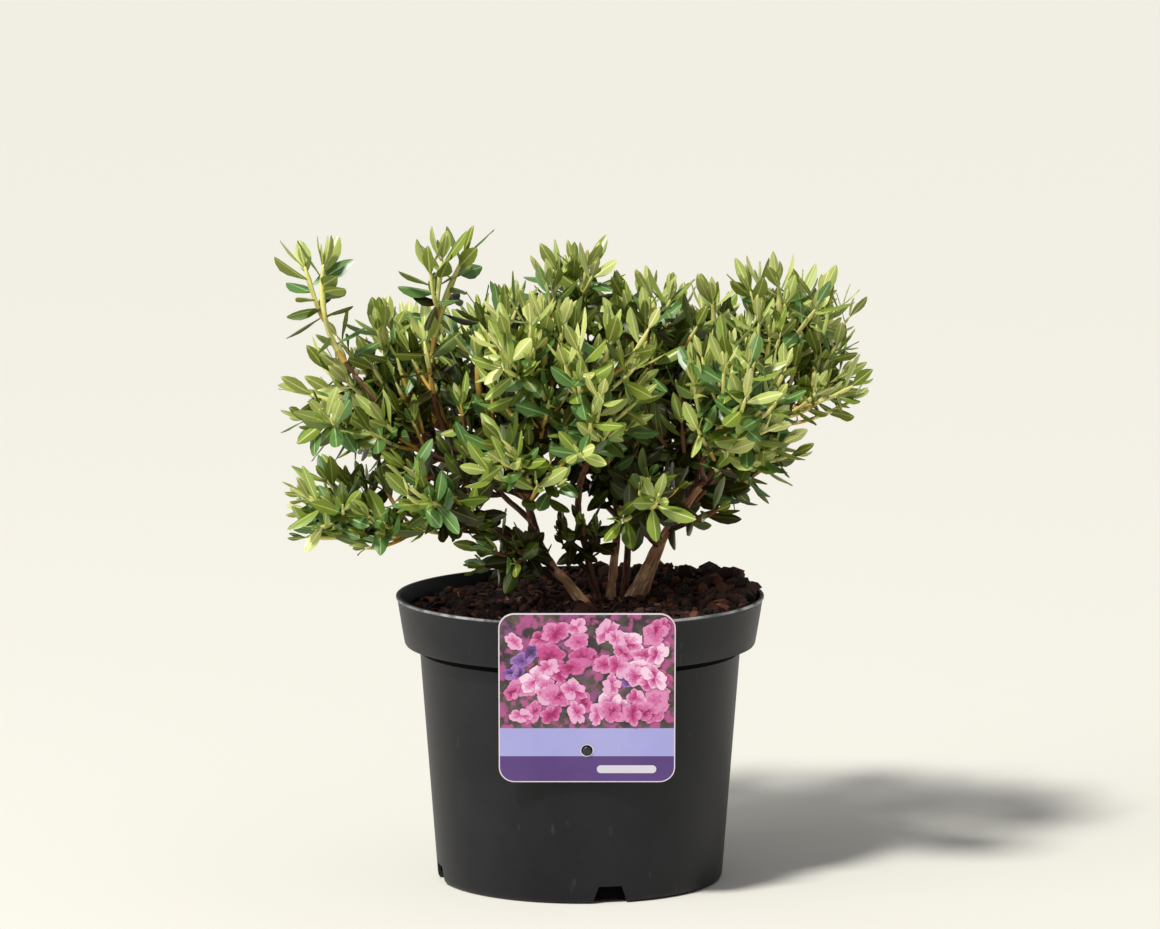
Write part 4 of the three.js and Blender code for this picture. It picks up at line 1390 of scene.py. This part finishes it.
def dress_shoot(part, grown, course, girth, rows, draw, size=1.0):
    """A shoot's twig with its leaves, and whether it grew: all but the leader are left out where
    their growing end would be bare."""
    leading = course is grown.leader
    leaves = leaves_along(grown, course, rows, size, draw)
    if not leading and sum(youth >= 1 for _, _, youth in leaves) < 3:
        return False
    add_twig(part, course, TWIG_RADII * girth, 0.55 if leading else 1)
    for share in (1, 0.84, 0.68) if leading else (1,):
        shoot_tips.add(place_on(course, share))
    # Each spray's tone varies at random, and its mass's green shifts it darker as painted shade.
    spray_tone_and_shade = draw.normal(-grown.green, 0.6)
    for leaf, middle, youth in leaves:
        leaf_middles.add(middle)
        kind = kind_of(crown_depth(middle), youth, spray_tone_and_shade, draw)
        looks = [STALK_LOOK if p == 4 else kind * 4 + p for p in LEAF_PARTS]
        part.leaves.add(leaf_points(leaf), LEAF_FACES, looks)
    return True


def grow_shoots(part, grown, draw):
    """The leader and side shoots of the solids. A shoot that stands alone has larger leaves."""
    size = grown.size * (1.12 if grown.fine < 0.5 else 1)
    dress_shoot(part, grown, grown.leader, LEADER.girth, ROSETTE, draw, size)
    limb = limbs[grown.on].course
    grown.carriers = [
        (limb, max(0, grown.at - 0.5), min(1, grown.at + 0.25)), (grown.leader, 0.05, 0.8),
    ]
    for index in range(grown.shoots):
        course = side_shoot(grown, index)
        fits = inside_own_space(course.points[2:], grown, LEEWAY.shoot_space)
        girth = SIDE_SHOOT.girth
        if fits and dress_shoot(part, grown, course, girth, SHORT_ROSETTE, draw, size):
            grown.carriers.append((course, 0.15, 0.8))


def grow_finer_twigs(part, grown, draw):
    """The finer twigs that a mass's limb, leader and side shoots carry."""
    for _ in range(round(FINER_TWIG.tries * grown.fine)):
        carrier = 0 if draw.uniform() < 0.25 else int(draw.integers(len(grown.carriers)))
        parent, low, high = grown.carriers[carrier]
        length = draw.uniform(*FINER_TWIG.lengths) * (0.7 + 0.3 * grown.size)
        turn = draw.uniform(0, 2 * math.pi)
        course = fine_shoot(parent, draw.uniform(low, high), turn, length, draw)
        finer = (0.3 + 0.7 * grown.size) * draw.uniform(0.84, 1.02)
        if fine_shoot_fits(course, grown):
            dress_shoot(part, grown, course, FINER_TWIG.girth, SHORT_ROSETTE, draw, finer)


def fine_shoot_fits(course, grown):
    """Whether a finer twig hardly droops, keeps to the mass's space, and is clear of limbs and of
    other shoots' tips."""
    tip = course.points[-1]
    if tip[2] < course.points[0][2] - FINER_TWIG.droop:
        return False
    aside = np.hypot(tip[0] - grown.top[0], tip[1] - grown.top[1])
    fall = 0.3 if grown.top[2] > 265 else 0.08
    roof = grown.top[2] + 2 - 0.64 * LEAF.length * grown.size - fall * max(0, aside - 5)
    inside = within_reach(course.points[3:], grown) and tip[2] < roof
    apart = shoot_tips.free(tip, ROOM.tip * grown.size**2)
    return inside and apart and clear_of_limbs(course.points[4:], ROOM.twig_to_limb)


def part_of(grown):
    """Which part of the crown a mass belongs to."""
    x, y, _ = grown.top
    if y > 45:
        return "back"
    return "left" if x < -48 else "right" if x > 55 else "middle"


def foliage_paints():
    """The materials of leaves, in the order of their looks, and of shoots from tip to foot."""
    leaf_paints = []
    for (kind, (top, rib, under, under_rib)), sheen in zip(LEAF_KINDS.items(), LEAF_SHEEN):
        leaf_paints += [
            plain(f"leaf_{kind}_top", tint(*top), 0.32, Specular_IOR_Level=sheen),
            plain(f"leaf_{kind}_rib", tint(*rib), 0.5),
            plain(f"leaf_{kind}_under", tint(*under), 0.55),
            plain(f"leaf_{kind}_under_rib", tint(*under_rib), 0.55),
        ]
    leaf_paints.append(plain("leaf_stalk", tint(176, 184, 96), 0.55))
    shoot_paints = [
        plain("shoot_growing", tint(226, 222, 134), 0.5),
        plain("shoot_amber", tint(206, 166, 76), 0.55),
        plain("twig_red_brown", tint(118, 74, 44), 0.7),
        plain("twig_dark", tint(56, 36, 26), 0.8),
    ]
    return leaf_paints, shoot_paints


def make_foliage():
    parts = {name: Foliage() for name in ("left", "middle", "right", "back")}
    draws = [np.random.default_rng(900 + index) for index in range(len(MASSES))]
    for grown, draw in zip(MASSES, draws):
        part = parts[part_of(grown)]
        part.nodes.append(f"foliage_{grown.name}")
        grow_shoots(part, grown, draw)
    for grown, draw in zip(MASSES, draws):
        grow_finer_twigs(parts[part_of(grown)], grown, draw)
    leaf_paints, shoot_paints = foliage_paints()
    for name, part in parts.items():
        leaves = part.leaves.piece(f"leaves_{name}", leaf_paints)
        finish_piece(leaves, part.nodes, smooth_below=50)
        shoots = part.shoots.piece(f"shoots_{name}", shoot_paints)
        finish_piece(shoots, part.nodes, smooth_below=60)


# ---------------------------------------------------------------- stage


def make_stage():
    """A pale floor that runs past the picture, a soft sun from the upper left and pale air."""
    bpy.ops.mesh.primitive_plane_add(size=120)
    floor = bpy.context.object
    floor.name = "floor"
    floor.data.materials.append(plain("pale_floor", tint(238, 236, 227), 0.9))
    lamp = bpy.data.lights.new("key", "SUN")
    lamp.energy = 3.05
    lamp.angle = math.radians(9)
    lamp.color = (1, 0.98, 0.94)
    put_in_scene("key", lamp, turn=(math.radians(38), 0, math.radians(-38)))
    box = bpy.data.lights.new("side_box", "AREA")
    box.energy = 9
    box.size = 1.1
    place = Vector((-1.6, -0.9, 0.75))
    turn = (Vector((0, 0, 0.15)) - place).to_track_quat("-Z", "Y").to_euler()
    put_in_scene("side_box", box, place, turn)
    world = bpy.data.worlds.new("air")
    world.use_nodes = True
    air = world.node_tree.nodes["Background"]
    air.inputs["Color"].default_value = (0.98, 0.98, 1, 1)
    air.inputs["Strength"].default_value = 0.31
    bpy.context.scene.world = world
    bpy.context.scene.view_settings.view_transform = "Standard"


def make_camera():
    data = bpy.data.cameras.new("camera")
    data.sensor_width = CAMERA.sensor
    data.lens = CAMERA.lens
    data.clip_end = 200
    place = (0, -CAMERA.distance, CAMERA.height)
    turn = (math.radians(90 - CAMERA.pitch), 0, 0)
    bpy.context.scene.camera = put_in_scene("camera", data, place, turn)


make_camera()
make_stage()
make_pot()
make_compost()
make_crumbs(np.random.default_rng(11))
make_flakes(np.random.default_rng(12))
make_label(np.random.default_rng(13))
make_stud()
lay_limbs()
make_limbs()
LIMB_PLACES = limb_places()
settle_spaces()
make_foliage()
